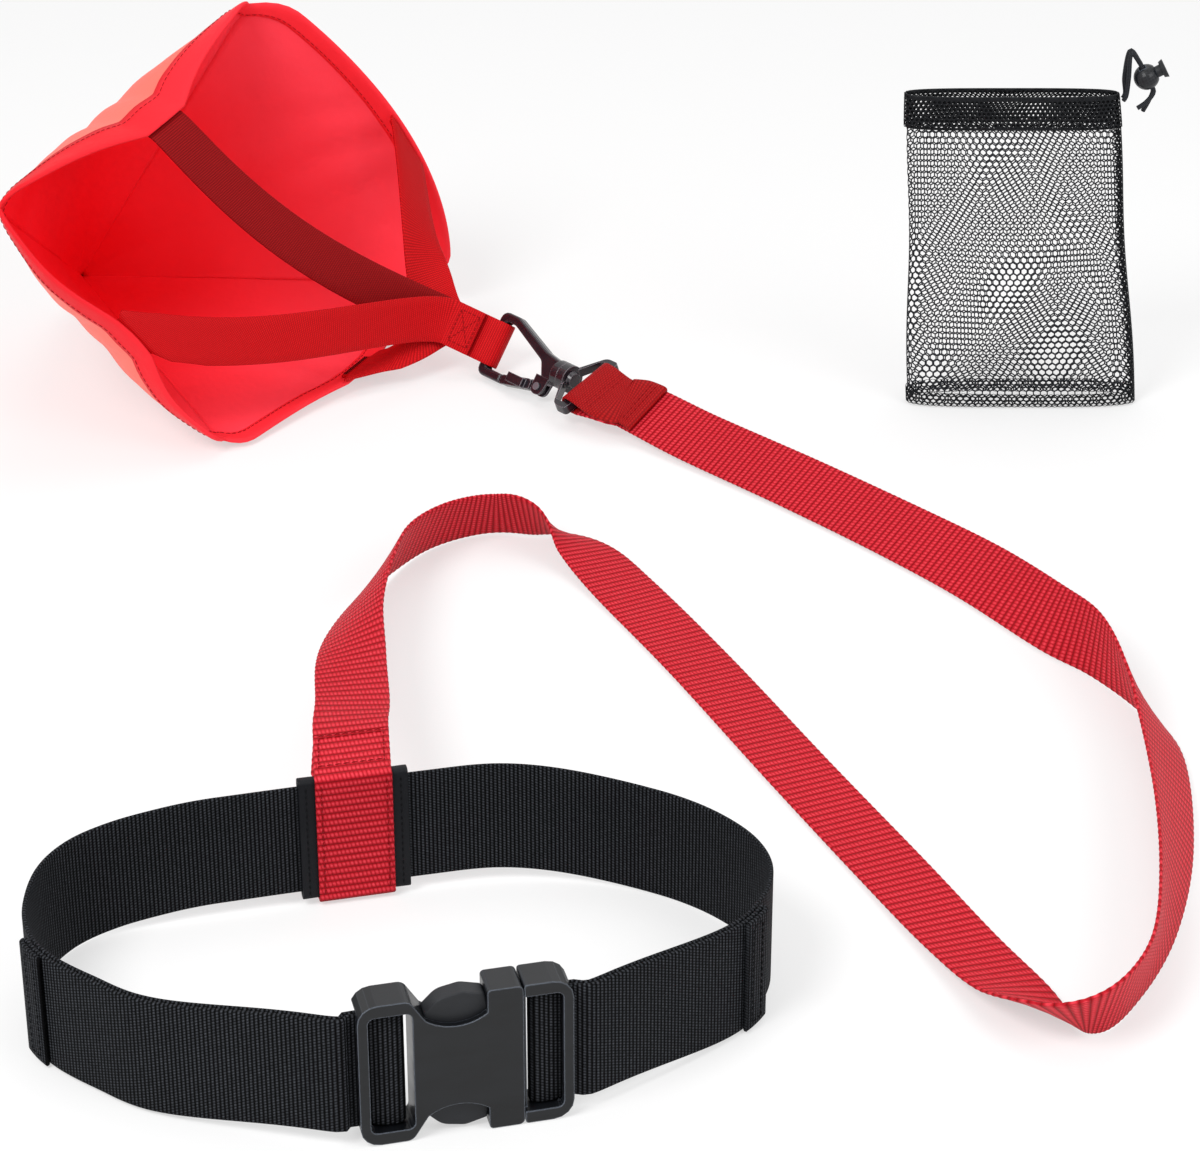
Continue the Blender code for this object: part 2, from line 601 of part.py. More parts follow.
# Snap hook, turning on the base's stem line; its bow stands more on edge than the base

hook_axes, hook_frame = axes("hook_axes", (HOOK_X, HOOK_Y, HOOK_Z), HOOK_BEARING, HOOK_LEAN)
collar_in = HUB_X - GAP
collar_out = collar_in - COLLAR
bow_end = collar_out - HOOK_LENGTH
bow_half = BRIDLE_WIDTH / 2 + 0.9 * MM
bow_out = bow_half + HOOK_WALL
LUG_X, LUG_Y = collar_out - 8.5 * MM, -11.2 * MM
tip_x = bow_end + 18.5 * MM
hook_line = rounded([
    (collar_out + 1 * MM, -6 * MM), (collar_out + 1 * MM, 6 * MM), (collar_out - 12 * MM, 8 * MM),
    (bow_end + 13 * MM, bow_out), (bow_end, bow_out), (bow_end, -bow_out), (tip_x, -bow_out),
    (tip_x, -bow_half), (bow_end + HOOK_BAR, -bow_half), (bow_end + HOOK_BAR, bow_half),
    (bow_end + 12 * MM, bow_half), (collar_out - 14 * MM, 2.2 * MM), (collar_out - 9 * MM, -6 * MM)],
    [0, 0, 8 * MM, 8 * MM, 4.5 * MM, 4.5 * MM, 1.2 * MM, 1.2 * MM, 1.8 * MM, 1.8 * MM, 5 * MM,
     5 * MM, 2 * MM])
hook = put("hook_body", plate_mesh("hook_body", hook_line, HOOK_THICK), PLASTIC_GREY,
           parent=hook_axes)
bevel(hook, 1.1 * MM, 2, 50)
boolean(hook, plate_mesh("lug", rounded([
    (LUG_X - GATE_LUG_RADIUS, LUG_Y - GATE_LUG_RADIUS), (LUG_X + GATE_LUG_RADIUS,
                                                         LUG_Y - GATE_LUG_RADIUS),
    (LUG_X + GATE_LUG_RADIUS + 1.5 * MM, -5 * MM), (LUG_X - GATE_LUG_RADIUS, -5 * MM)],
    [GATE_LUG_RADIUS * 0.95, GATE_LUG_RADIUS * 0.95, 0, 0]), HOOK_THICK - 0.4 * MM), "UNION")
boolean(hook, rod_mesh("collar", HUB_RADIUS, (collar_out, 0, 0), (collar_in, 0, 0), 32), "UNION")
boolean(hook, rod_mesh("stem", STEM_RADIUS, (collar_in - 1 * MM, 0, 0),
                       (hub_in + GAP + 1 * MM, 0, 0), 24), "UNION")
boolean(hook, rod_mesh("stem_head", STEM_HEAD_RADIUS, (hub_in + GAP, 0, 0),
                       (hub_in + GAP + STEM_HEAD, 0, 0), 24, STEM_HEAD_RADIUS * 0.8), "UNION")
boolean(hook, box_mesh("lug_slot", (LUG_X - GATE_LUG_RADIUS - 3 * MM,
                                    LUG_Y - GATE_LUG_RADIUS - 3 * MM,
                                    -GATE_TONGUE / 2 - GAP),
                       (LUG_X + GATE_LUG_RADIUS + 1 * MM, LUG_Y + GATE_LUG_RADIUS + 0.6 * MM,
                        GATE_TONGUE / 2 + GAP)), "DIFFERENCE")
boolean(hook, rod_mesh("lug_bore", GATE_PIN_RADIUS + RUNNING, (LUG_X, LUG_Y, -6 * MM),
                       (LUG_X, LUG_Y, 6 * MM), 24), "DIFFERENCE")
boolean(hook, box_mesh("tip_slot", (tip_x - 7 * MM, -bow_out - 2 * MM, -1.3 * MM),
                       (tip_x - 2.5 * MM, -bow_half + 2 * MM, 1.3 * MM)), "DIFFERENCE")

# Spring gate of the hook, with its origin on the pin
gate_reach = tip_x + 1.6 * GAP - LUG_X
gate_start = -GATE_LUG_RADIUS - 1.1 * MM
nose_y = -(bow_half + HOOK_WALL / 2) - LUG_Y
gate_line = rounded([
    (gate_start, 2.6 * MM), (gate_reach, nose_y + 2.6 * MM),
    (gate_reach, nose_y - 2.6 * MM), (gate_start, -3.2 * MM)],
    [2.6 * MM, 1.6 * MM, 1.6 * MM, 1 * MM])
gate = put("hook_gate", plate_mesh("hook_gate", gate_line, HOOK_THICK - 0.2 * MM), PLASTIC_GREY,
           Matrix.Translation((LUG_X, LUG_Y, 0)), hook_axes)
tongue_line = rounded([
    (GATE_LUG_RADIUS * 0.85, GATE_LUG_RADIUS * 0.85), (-GATE_LUG_RADIUS - 3 * MM, 2.4 * MM),
    (-GATE_LUG_RADIUS - 3 * MM, -2.8 * MM), (GATE_LUG_RADIUS * 0.85, -GATE_LUG_RADIUS * 0.85)],
    [3.4 * MM, 0, 0, 3.4 * MM])
boolean(gate, plate_mesh("gate_tongue", tongue_line, GATE_TONGUE), "UNION")
boolean(gate, box_mesh("gate_thumb", (-21 * MM, -4.2 * MM, HOOK_THICK / 2 - 1.3 * MM),
                       (-9 * MM, 0.9 * MM, HOOK_THICK / 2 + THUMB_RISE)), "UNION")
bevel(gate, 0.8 * MM, 1, 50)
boolean(gate, rod_mesh("gate_bore", GATE_PIN_RADIUS + RUNNING, (0, 0, -6 * MM), (0, 0, 6 * MM), 24),
        "DIFFERENCE")
pin_half = HOOK_THICK / 2 - 0.2 * MM + GAP
pin = put("hook_gate_pin", rod_mesh("hook_gate_pin", GATE_PIN_RADIUS, (0, 0, -pin_half - 0.5 * MM),
                                    (0, 0, pin_half + 0.5 * MM), 20),
          PLASTIC_GREY, Matrix.Translation((LUG_X, LUG_Y, 0)), hook_axes)
for sign in (-1, 1):
    boolean(pin, rod_mesh("pin_head", GATE_PIN_RADIUS + 1.0 * MM, (0, 0, sign * pin_half),
                          (0, 0, sign * (pin_half + 0.9 * MM)), 20), "UNION")


# Tether. The route's middle run is X, Y, Z in millimetres and the strap's tilt in degrees.

ROUTE = [
    (-85, -214, 50, 0), (-89, -166, 42, -10), (-91, -113, 33, -34), (-86, -61, 25, -52),
    (-76, -15, 18, -68), (-58, 15, 15.6, -67), (-34, 28, 15.2, -63), (-12, 24, 14.6, -58),
    (11, 9, 6.5, -14), (32, -27, 2.4, 0), (66, -98, 1.4, 0), (107, -193, 1.4, 0),
    (141, -270, 1.5, 0), (165, -326, 2.8, -4), (182, -364, 6.5, -12), (197, -392, 12.6, -45),
    (216, -391, 16.2, -72), (234, -363, 16.4, -80), (249, -317, 16.5, -92), (260, -256, 16, -107),
    (265, -182, 14, -127), (258, -142, 15.8, -110), (246, -106, 16.4, -84), (229, -77, 14.9, -60),
    (201, -27, 11.8, -42), (167, 19, 10, -33), (120, 73, 9.6, -30), (71, 123, 10.6, -28),
    (41, 152, 13.6, -25)]

loop_t = SLEEVE_HALF_T + GAP + TETHER_THICK / 2
loop_h = SLEEVE_HALF_H + GAP + TETHER_THICK / 2
lap = TETHER_THICK + GAP


def in_sleeve(across, up):
    """Point beside the sleeve: across is towards the middle of the ring, up from its centre."""
    centre = sleeve_at + OUTWARD * (sleeve_mid + across)
    return Vector((centre.x, centre.y, MID_Z + up))


sleeve_width = Vector((ALONG.x, ALONG.y, 0))
stations = []
# sewn end under the strap, down behind the sleeve, under it, up its front and over the top
start_back = -loop_t - TETHER_LAP - 1.5 * MM
stations.append((in_sleeve(start_back, loop_h - lap), sleeve_width))
stations.append((in_sleeve(start_back / 2 - loop_t / 2 - 1 * MM, loop_h - lap), sleeve_width))
corner = 2.0 * MM
for cx, cy, a0 in ((-loop_t - corner, loop_h - lap - corner, 90),):
    for k in range(4):
        a = math.radians(a0 - 90 * k / 3)
        stations.append((in_sleeve(cx + corner * math.cos(a), cy + corner * math.sin(a)),
                         sleeve_width))
for f in (0.25, 0.0, -0.25, -0.5, -0.75):
    stations.append((in_sleeve(-loop_t, f * loop_h), sleeve_width))
for cx, cy, a0 in ((-loop_t + corner, -loop_h + corner, 180), (loop_t - corner, -loop_h + corner,
                                                              270)):
    for k in range(4):
        a = math.radians(a0 + 90 * k / 3)
        stations.append((in_sleeve(cx + corner * math.cos(a), cy + corner * math.sin(a)),
                         sleeve_width))
for f in (-0.6, -0.3, 0.0, 0.3, 0.6):
    stations.append((in_sleeve(loop_t, f * loop_h), sleeve_width))
for k in range(5):
    a = math.radians(90 * k / 4)
    r = TETHER_THICK
    stations.append((in_sleeve(loop_t - r + r * math.cos(a), loop_h - r + r * math.sin(a)),
                     sleeve_width))
stations.append((in_sleeve(-loop_t - 6 * MM, loop_h), sleeve_width))
stations.append((in_sleeve(-loop_t - TETHER_LAP - 1.5 * MM, loop_h), sleeve_width))

# free run from the sleeve to the swivel base
base_x = base_frame.to_3x3() @ Vector((1, 0, 0))
base_y = base_frame.to_3x3() @ Vector((0, 1, 0))
base_n = base_frame.to_3x3() @ Vector((0, 0, 1))
base_o = base_frame.translation
lead_out = in_sleeve(-loop_t - TETHER_LAP - 16 * MM, loop_h - 2.2 * MM)
knots = [(*stations[-1][0], 0.0), (*lead_out, 0.0)]
knots += [(x * MM, y * MM, z * MM, tilt) for x, y, z, tilt in ROUTE]
lead_in = base_o + base_x * (TETHER_HEM * 0.55) - base_n * base_turn * 0.3
knots.append((*lead_in, -BASE_LEAN))
knots.append((*(base_o + base_x * 4 * MM - base_n * base_turn), -BASE_LEAN))
free = spline(knots, 9 * MM)
for i in range(1, len(free) - 1):
    a, b = Vector(free[i - 1][:3]), Vector(free[i + 1][:3])
    run = (b - a).normalized()
    level = Vector((0, 0, 1)).cross(run).normalized()
    tilt = math.radians(free[i][3])
    width = level * math.cos(tilt) + Vector((0, 0, 1)) * math.sin(tilt)
    width = (width - run * width.dot(run)).normalized()
    if i < 4:
        width = (-sleeve_width).lerp(width, i / 4).normalized()
    ends = len(free) - 1 - i
    if ends < 4:
        width = (-base_y).lerp(width, ends / 4).normalized()
    stations.append((Vector(free[i][:3]), -width))
# round the base's bar and back over the strap
for k in range(7):
    a = math.radians(-90 - 180 * k / 6)
    stations.append((base_o + base_x * math.cos(a) * base_turn + base_n * math.sin(a) * base_turn,
                     base_y))
over = []
for f in (0.3, 0.55, 0.8, 1.0):
    reach = TETHER_HEM * f
    best = min(range(len(stations) - 60, len(stations) - 7),
               key=lambda j: abs((stations[j][0] - base_o).dot(base_x) - reach))
    place, width = stations[best]
    ahead = (stations[best + 1][0] - stations[best - 1][0]).normalized()
    normal = ahead.cross(width).normalized()
    if normal.z < 0:
        normal = -normal
    height = lap + (2 * base_turn - lap) * (1 - smooth((reach - 3 * MM) / (17 * MM)))
    over.append((place + normal * height, width))
stations += over

rails = []
previous = None
for place, width in stations:
    if previous is not None and width.dot(previous) < 0:
        width = -width
    previous = width
    half = width * TETHER_WIDTH / 2
    rails.append([place - half, place + half])
tether = ribbon("tether_webbing", rails, TETHER_THICK, TETHER_RED)
low = min(min(a.z, b.z) for a, b in rails)
length = sum((b[0] - a[0]).length for a, b in zip(stations, stations[1:]))
print("tether strap", round(length, 4), "m, lowest edge", round(low, 5))


# Chute: four triangular panels between the mouth and the apex

corners = [Vector(c) * MM for c in (MOUTH_BOTTOM, MOUTH_RIGHT, MOUTH_TOP, MOUTH_LEFT)]
apex = Vector(APEX) * MM
mouth_centre = sum(corners, Vector()) / 4
hook_x = hook_frame.to_3x3() @ Vector((1, 0, 0))
hook_y = hook_frame.to_3x3() @ Vector((0, 1, 0))
hook_n = hook_frame.to_3x3() @ Vector((0, 0, 1))
hook_o = hook_frame.translation
bow_at = hook_o + hook_x * (bow_end + HOOK_BAR / 2)
SIDES = ["lower_right", "upper_right", "upper_left", "lower_left"]
FLOOR = 1.2 * MM


def side_pull(i):
    middle = (corners[i] + corners[(i + 1) % 4]) / 2
    towards = (bow_at - middle).normalized() + (mouth_centre - middle).normalized() * 0.55
    return towards.normalized() * PULL


def bell(s, strap=0.07):
    """One over the strap's width, falling to nothing at the corners."""
    d = abs(s - 0.5)
    if d < strap:
        return 1.0
    f = (d - strap) / (0.5 - strap)
    return (1 - f) ** 1.15 * (1 - 0.25 * math.sin(math.pi * f))


def panel_point(i, s, t):
    """Point of panel i: s along the mouth, t from the mouth to the apex."""
    a, b = corners[i], corners[(i + 1) % 4]
    edge = a.lerp(b, s) + side_pull(i) * bell(s) * (1 - t) ** 1.3
    point = edge.lerp(apex, t) if t > 0 else edge
    normal = (b - a).cross(apex - a).normalized()
    if normal.dot((a + b) / 2 - mouth_centre) < 0:
        normal = -normal
    billow = 9 * MM * math.sin(math.pi * s) * math.sin(math.pi * min(1, t * 1.05)) ** 1.2
    point = point + normal * billow
    point.z = max(point.z, FLOOR) if point.z > 0 else FLOOR + 0.0 * MM
    return point


def panel_normal(i, s, t):
    e = 0.004
    ds = panel_point(i, min(s + e, 1), t) - panel_point(i, max(s - e, 0), t)
    dt = panel_point(i, s, min(t + e, 1)) - panel_point(i, s, max(t - e, 0))
    normal = ds.cross(dt).normalized()
    middle = (corners[i] + corners[(i + 1) % 4]) / 2
    return normal if normal.dot(middle - mouth_centre) > 0 else -normal


S_STEPS, T_STEPS = 16, 9
T_END = 0.982
for i, side_name in enumerate(SIDES):
    rows = []
    for r in range(T_STEPS + 1):
        t = T_END * r / T_STEPS
        left, right = panel_point(i, 0, t), panel_point(i, 1, t)
        inset = min(0.42, SEAM / max((right - left).length, 1e-6) * 1.25)
        rows.append([panel_point(i, inset + (1 - 2 * inset) * k / S_STEPS, t)
                     for k in range(S_STEPS + 1)])
    ribbon("chute_panel_" + side_name, rows, CLOTH, CHUTE_RED)

# Hem of the mouth: one band round the outside of the panels' edge
hem_out = CLOTH + GAP
band = []
for i in range(4):
    for k in range(S_STEPS):
        s = k / S_STEPS
        if k == 0:
            normal = (panel_normal(i, 0.01, 0.03)
                      + panel_normal((i - 1) % 4, 0.99, 0.03)).normalized() * 1.42
        else:
            normal = panel_normal(i, s, 0.03)
        depth = HEM_WIDTH / (apex - panel_point(i, s, 0)).length
        band.append([panel_point(i, s, 0) + normal * hem_out,
                     panel_point(i, s, depth * 0.5) + normal * hem_out,
                     panel_point(i, s, depth) + normal * hem_out])
for row in band:
    for p in row:
        p.z = max(p.z, CLOTH / 2 + 0.1 * MM)
ribbon("mouth_hem", band, CLOTH, CHUTE_RED, closed=True)


# Bridle: a short loop on the hook's bow and four straps sewn to it. The loop has swung round
# the bow's bar towards the chute.

swing = Matrix.Rotation(math.radians(BRIDLE_SWING), 3, hook_y)
bridle_x = swing @ hook_x
bridle_n = swing @ hook_n
bow_mid = hook_o + hook_x * (bow_end + HOOK_BAR / 2)
loop_r = math.hypot(HOOK_THICK, HOOK_BAR) / 2 + BAR_EASE + BRIDLE_THICK / 2
STACK = BRIDLE_THICK + GAP
stack_start = -(loop_r + 6.5 * MM)


def by_bow(along, out):
    """Point on the loop's centre line: along is negative towards the chute."""
    return bow_mid + bridle_x * along + bridle_n * out


loop_points = [by_bow(stack_start - BRIDLE_STACK * f, STACK / 2) for f in (0.8, 0.4, 0.0)]
loop_points.append(by_bow(stack_start * 0.55, loop_r * 0.8))
for k in range(9):
    a = math.radians(100 - 200 * k / 8)
    loop_points.append(by_bow(loop_r * math.cos(a), loop_r * math.sin(a)))
loop_points.append(by_bow(stack_start * 0.55, -loop_r * 0.8))
loop_points += [by_bow(stack_start - BRIDLE_STACK * f, -STACK / 2) for f in (0.0, 0.4, 0.8)]
ribbon("bridle_loop", [[p - hook_y * BRIDLE_WIDTH / 2, p + hook_y * BRIDLE_WIDTH / 2]
                       for p in loop_points], BRIDLE_THICK, BRIDLE_RED)

# Place of each strap in the sewn stack, from its back to its front; how straight on it leaves
# the stack, and by how many degrees it fans out to the front
ORDER = {"lower_left": 2.5, "upper_left": 1.5, "lower_right": -1.5, "upper_right": -2.5}
LEAVING = {"lower_left": (0.4, 8), "upper_left": (0.5, 3), "lower_right": (0.5, 10),
           "upper_right": (0.45, -30)}
for i, side_name in enumerate(SIDES):
    level = ORDER[side_name] * STACK
    a, b = corners[i], corners[(i + 1) % 4]
    half_s = BRIDLE_WIDTH / 2 / (b - a).length
    inner = CLOTH / 2 + 2 * GAP + BRIDLE_THICK / 2
    sign = 1 if (b - a).dot(hook_y) > 0 else -1

    def sewn(t):
        """Middle and width direction of the strap where it is sewn inside the mouth."""
        normal = panel_normal(i, 0.5, max(t, 0.02))
        first, second = panel_point(i, 0.5 - half_s, t), panel_point(i, 0.5 + half_s, t)
        return (first + second) / 2 - normal * inner, (second - first).normalized() * sign

    reach = (apex - panel_point(i, 0.5, 0)).length
    mouth, mouth_w = sewn(0.0)
    inward = (sewn(BRIDLE_SEWN / reach / 3)[0] - mouth).normalized()
    start = by_bow(stack_start - BRIDLE_STACK, level)
    pull, fan = LEAVING[side_name]
    fan = math.radians(fan)
    leaving = (bridle_n * math.sin(fan) - bridle_x * math.cos(fan)) * pull
    span = (mouth - start).length
    line = [(by_bow(stack_start - BRIDLE_STACK * k / 2, level), 0.0) for k in range(2)]
    count = max(6, round(span / (8 * MM)))
    for k in range(count):
        u = k / count
        place = (start * (2 * u ** 3 - 3 * u * u + 1)
                 + leaving * span * (u ** 3 - 2 * u * u + u)
                 + mouth * (3 * u * u - 2 * u ** 3) + inward * span * 0.4 * (u ** 3 - u * u))
        line.append((place, u))
    line += [(sewn(BRIDLE_SEWN / reach * k / 3)[0], 1.0) for k in range(4)]
    rails = []
    for j, (place, u) in enumerate(line):
        run = (line[min(j + 1, len(line) - 1)][0] - line[max(j - 1, 0)][0]).normalized()
        width = hook_y.lerp(mouth_w, smooth(u * 1.15))
        square = (width - run * width.dot(run)).normalized()
        half = square.lerp(width, smooth(u * 1.5)) * BRIDLE_WIDTH / 2
        rails.append([place - half, place + half])
    ribbon("bridle_" + side_name, rails, BRIDLE_THICK, BRIDLE_RED)


# Storage bag: net pouch standing on its foot, hem band, drawcord and cord lock

def bag_ring(height, out, count=28):
    """Flat oval section of the bag at a height."""
    f = height / BAG_HEIGHT
    depth = BAG_FOOT + (BAG_MOUTH - BAG_FOOT) * smooth(f * 1.1)
    half_w = (BAG_WIDTH + (BAG_TOP_WIDTH - BAG_WIDTH) * f) / 2 + out
    centre_x = BAG_X + BAG_TOP_SHIFT * f
    half_d = depth / 2 + out
    ring = []
    for k in range(count):
        a = 2 * math.pi * k / count
        c, s = math.cos(a), math.sin(a)
        ring.append(Vector((centre_x + half_w * math.copysign(abs(c) ** 0.55, c),
                            BAG_Y + half_d * math.copysign(abs(s) ** 0.7, s), height)))
    return ring


def bag_shell(name, heights, out, thick, mat, floor=False):
    bm = bmesh.new()
    rows = [[bm.verts.new(p) for p in bag_ring(h, out)] for h in heights]
    for a, b in zip(rows, rows[1:]):
        for k in range(len(a)):
            bm.faces.new((a[k], a[(k + 1) % len(a)], b[(k + 1) % len(a)], b[k]))
    if floor:
        bm.faces.new(list(reversed(rows[0])))
    bmesh.ops.recalc_face_normals(bm, faces=bm.faces)
    mesh = bpy.data.meshes.new(name)
    bm.to_mesh(mesh)
    bm.free()
    obj = put(name, mesh, mat)
    modifier = obj.modifiers.new("Thickness", "SOLIDIFY")
    modifier.thickness = thick
    modifier.offset = -1
    modifier.use_even_offset = True
    return obj


steps = 4
bag_shell("bag_net", [0.2 * MM + (BAG_HEIGHT - 0.4 * MM) * k / steps for k in range(steps + 1)],
          0.0, BAG_CLOTH, NET_BLACK, floor=True)
bag_shell("bag_hem", [BAG_HEIGHT - BAG_HEM, BAG_HEIGHT - BAG_HEM / 2, BAG_HEIGHT],
          2 * GAP + BAG_CLOTH, BAG_CLOTH, NET_BLACK)

# Cord lock: a ball with a plunger; the cord's two strands pass across it
lock_at = Vector((298.0 * MM, BAG_Y, 181.5 * MM))
LOCK_TILT = 28.0
tilt = math.radians(LOCK_TILT)
lock_dir = Vector((math.cos(tilt), 0, math.sin(tilt)))
cross_dir = Vector((math.sin(tilt), 0, -math.cos(tilt)))
lock_frame = Matrix((lock_dir, Vector((0, 1, 0)), lock_dir.cross(Vector((0, 1, 0))))).transposed()
lock_frame = lock_frame.to_4x4()
lock_frame.translation = lock_at
bm = bmesh.new()
bmesh.ops.create_uvsphere(bm, u_segments=24, v_segments=14, radius=LOCK_RADIUS)
ball = bpy.data.meshes.new("cord_lock_body")
bm.to_mesh(ball)
bm.free()
lock = put("cord_lock_body", ball, PLASTIC_BLACK, lock_frame)
mouth_x = LOCK_RADIUS * 0.82
boolean(lock, box_mesh("lock_face", (mouth_x, -10 * MM, -10 * MM), (12 * MM, 10 * MM, 10 * MM)),
        "DIFFERENCE")
boolean(lock, rod_mesh("lock_bore", LOCK_BORE, (-LOCK_RADIUS * 0.55, 0, 0), (12 * MM, 0, 0), 24),
        "DIFFERENCE")
STRAND = CORD / 2 + 0.25 * MM
CROSS_T = CORD / 2 + GAP
cross_hole = (-CROSS_T - 0.2 * MM, -2 * STRAND - 0.1 * MM, -12 * MM), (
    CROSS_T + 0.2 * MM, 2 * STRAND + 0.1 * MM, 12 * MM)
boolean(lock, box_mesh("lock_cross", *cross_hole), "DIFFERENCE")
button = put("cord_lock_button", rod_mesh("cord_lock_button", PLUNGER_RADIUS,
                                          (-LOCK_RADIUS * 0.55 + GAP + LOCK_TRAVEL, 0, 0),
                                          (mouth_x + LOCK_TRAVEL + 1 * MM, 0, 0), 24),
             PLASTIC_BLACK, lock_frame)
boolean(button, rod_mesh("button_head", LOCK_BORE + 0.9 * MM,
                         (mouth_x + LOCK_TRAVEL + GAP, 0, 0),
                         (mouth_x + LOCK_TRAVEL + 2.6 * MM, 0, 0), 24, LOCK_BORE + 1.7 * MM),
        "UNION")
boolean(button, box_mesh("button_cross", (-CROSS_T - 0.1 * MM, -2 * STRAND, -6 * MM),
                         (CROSS_T + 0.2 * MM + LOCK_TRAVEL, 2 * STRAND, 6 * MM)), "DIFFERENCE")

# Drawcord: both strands leave the hem's right corner, cross, and pass through the lock
exit_z = BAG_HEIGHT - 3.5 * MM
exit_x = BAG_X + BAG_TOP_SHIFT + BAG_TOP_WIDTH / 2 + 4 * GAP + BAG_CLOTH + CORD / 2


def strand(name, side, tail):
    inside = lock_at + Vector((0, side * STRAND, 0))
    points = [
        Vector((exit_x, BAG_Y + side * 1.7 * MM, exit_z)),
        Vector((exit_x + 1.2 * MM, BAG_Y + side * 2.2 * MM, exit_z + 3 * MM)),
        Vector((exit_x + (0.2 if side > 0 else 1.8) * MM, BAG_Y + side * 2.0 * MM,
                exit_z + 12 * MM)),
        inside - cross_dir * 15 * MM + Vector((-2.0 * MM, side * 0.8 * MM, 0)),
        inside - cross_dir * 9 * MM, inside - cross_dir * 3 * MM, inside,
        inside + cross_dir * 3 * MM, inside + cross_dir * 8.5 * MM]
    points += [points[-1] + Vector(v) * MM for v in tail]
    line = spline([tuple(p) for p in points], CORD * 1.0)
    total = sum(math.dist(a, b) for a, b in zip(line, line[1:]))
    print(name, round(total, 4), "m")
    return tube(name, line, CORD, CORD_BLACK)


strand("drawcord_front", -1, [(-3.5, -1.0, -5.0), (-8.0, -2.0, -8.0)])
strand("drawcord_back", 1, [(-1.5, 1.0, -6.0), (-4.0, 2.0, -12.0)])


# Pieces that move together hang from an empty on their joint's axis, and the whole set from one
# root that puts the origin under the middle of its outline

def pivot(name, place, members):
    empty = bpy.data.objects.new(name, None)
    parts.objects.link(empty)
    empty.location = place
    for obj in list(parts.objects) + list(cutters.objects):
        if obj.parent is None and any(obj.name.startswith(member) for member in members):
            obj.parent = empty
            obj.matrix_parent_inverse = Matrix.Translation(-Vector(place))
    return empty


pivot("bow_axes", bow_mid, ("bridle_", "chute_panel_", "mouth_hem"))
pivot("bag_axes", (BAG_X, BAG_Y, 0), ("bag_net", "bag_hem", "drawcord_", "cord_lock_body"))
pivot("plunger_axes", lock_at, ("cord_lock_button",))
pivot("strap_axes", sleeve_axes.location, ("tether_webbing",))
pivot("belt_axes", buckle.location, ("belt_webbing_right",))
root = bpy.data.objects.new("swim_parachute_axes", None)
parts.objects.link(root)
root.location = Vector(ORIGIN_SHIFT)
for obj in list(parts.objects) + list(cutters.objects):
    if obj.parent is None and obj is not root:
        obj.parent = root
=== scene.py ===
"""Swim parachute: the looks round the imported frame. Lengths in metres, floor at Z = 0."""
import math
from bisect import bisect_left
from math import cos, pi, radians, sin

import bmesh
import bpy
import numpy as np
from mathutils import Matrix, Vector


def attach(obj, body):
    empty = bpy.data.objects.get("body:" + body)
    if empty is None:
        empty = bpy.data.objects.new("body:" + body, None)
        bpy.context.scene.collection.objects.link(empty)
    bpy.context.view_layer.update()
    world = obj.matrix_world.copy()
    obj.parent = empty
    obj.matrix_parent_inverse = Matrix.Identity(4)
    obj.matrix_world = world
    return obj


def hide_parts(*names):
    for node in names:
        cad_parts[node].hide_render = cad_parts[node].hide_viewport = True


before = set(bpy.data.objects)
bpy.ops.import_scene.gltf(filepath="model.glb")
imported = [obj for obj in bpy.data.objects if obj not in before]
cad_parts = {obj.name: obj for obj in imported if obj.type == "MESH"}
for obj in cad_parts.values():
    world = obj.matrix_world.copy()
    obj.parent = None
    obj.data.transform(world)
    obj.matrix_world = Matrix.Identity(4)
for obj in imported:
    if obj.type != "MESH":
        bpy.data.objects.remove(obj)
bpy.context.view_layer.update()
MM = 0.001
SHIFT = Vector((-6.6, 72.25, 0)) * MM     # from the drawing's zero to the row frame
UP = Vector((0, 0, 1))
scene = bpy.context.scene
CAMERA_AT, CAMERA_TILT = Vector((0.02, -1.50, 0.7934)), radians(62)


# Curves and bands

def lengths(rows):
    """Running length of a line, each of whose rows starts with a point's three numbers."""
    total = [0.0]
    for a, b in zip(rows, rows[1:]):
        total.append(total[-1] + math.dist(a[:3], b[:3]))
    return total


def at_length(rows, total, want):
    """The row at a length along the line, all its numbers carried along."""
    j = min(bisect_left(total, want, 1), len(total) - 1) - 1
    f = (want - total[j]) / max(total[j + 1] - total[j], 1e-9)
    return [a + (b - a) * f for a, b in zip(rows[j], rows[j + 1])]


def evenly(rows, step):
    """Rows about a step apart along a line, with both its ends."""
    total = lengths(rows)
    count = max(2, round(total[-1] / step))
    return [at_length(rows, total, total[-1] * k / count) for k in range(count + 1)]


def spline(points, step):
    """Catmull-Rom curve through the points, all their values carried along, read every step."""
    dense = []
    last = len(points) - 1
    for i in range(last):
        p0, p1 = points[max(i - 1, 0)], points[i]
        p2, p3 = points[i + 1], points[min(i + 2, last)]
        for k in range(20):
            t = k / 20
            dense.append([0.5 * (2 * b + (c - a) * t + (2 * a - 5 * b + 4 * c - d) * t * t
                                 + (3 * b - a - 3 * c + d) * t ** 3)
                          for a, b, c, d in zip(p0, p1, p2, p3)])
    return evenly(dense + [points[-1]], step)


def smooth(t):
    t = max(0.0, min(1.0, t))
    return t * t * (3 - 2 * t)


def heading(points, i):
    """Direction of a line of points at its point i."""
    return (points[min(i + 1, len(points) - 1)] - points[max(i - 1, 0)]).normalized()


def toward(vector, way):
    """The vector or its opposite, whichever goes the given way."""
    return vector if vector.dot(way) > 0 else -vector


def arc(centre, x, y, start, turn, steps):
    """Points round an arc in the plane of x and y, its angles in degrees."""
    angles = [radians(start + turn * k / steps) for k in range(steps + 1)]
    return [centre + x * cos(a) + y * sin(a) for a in angles]


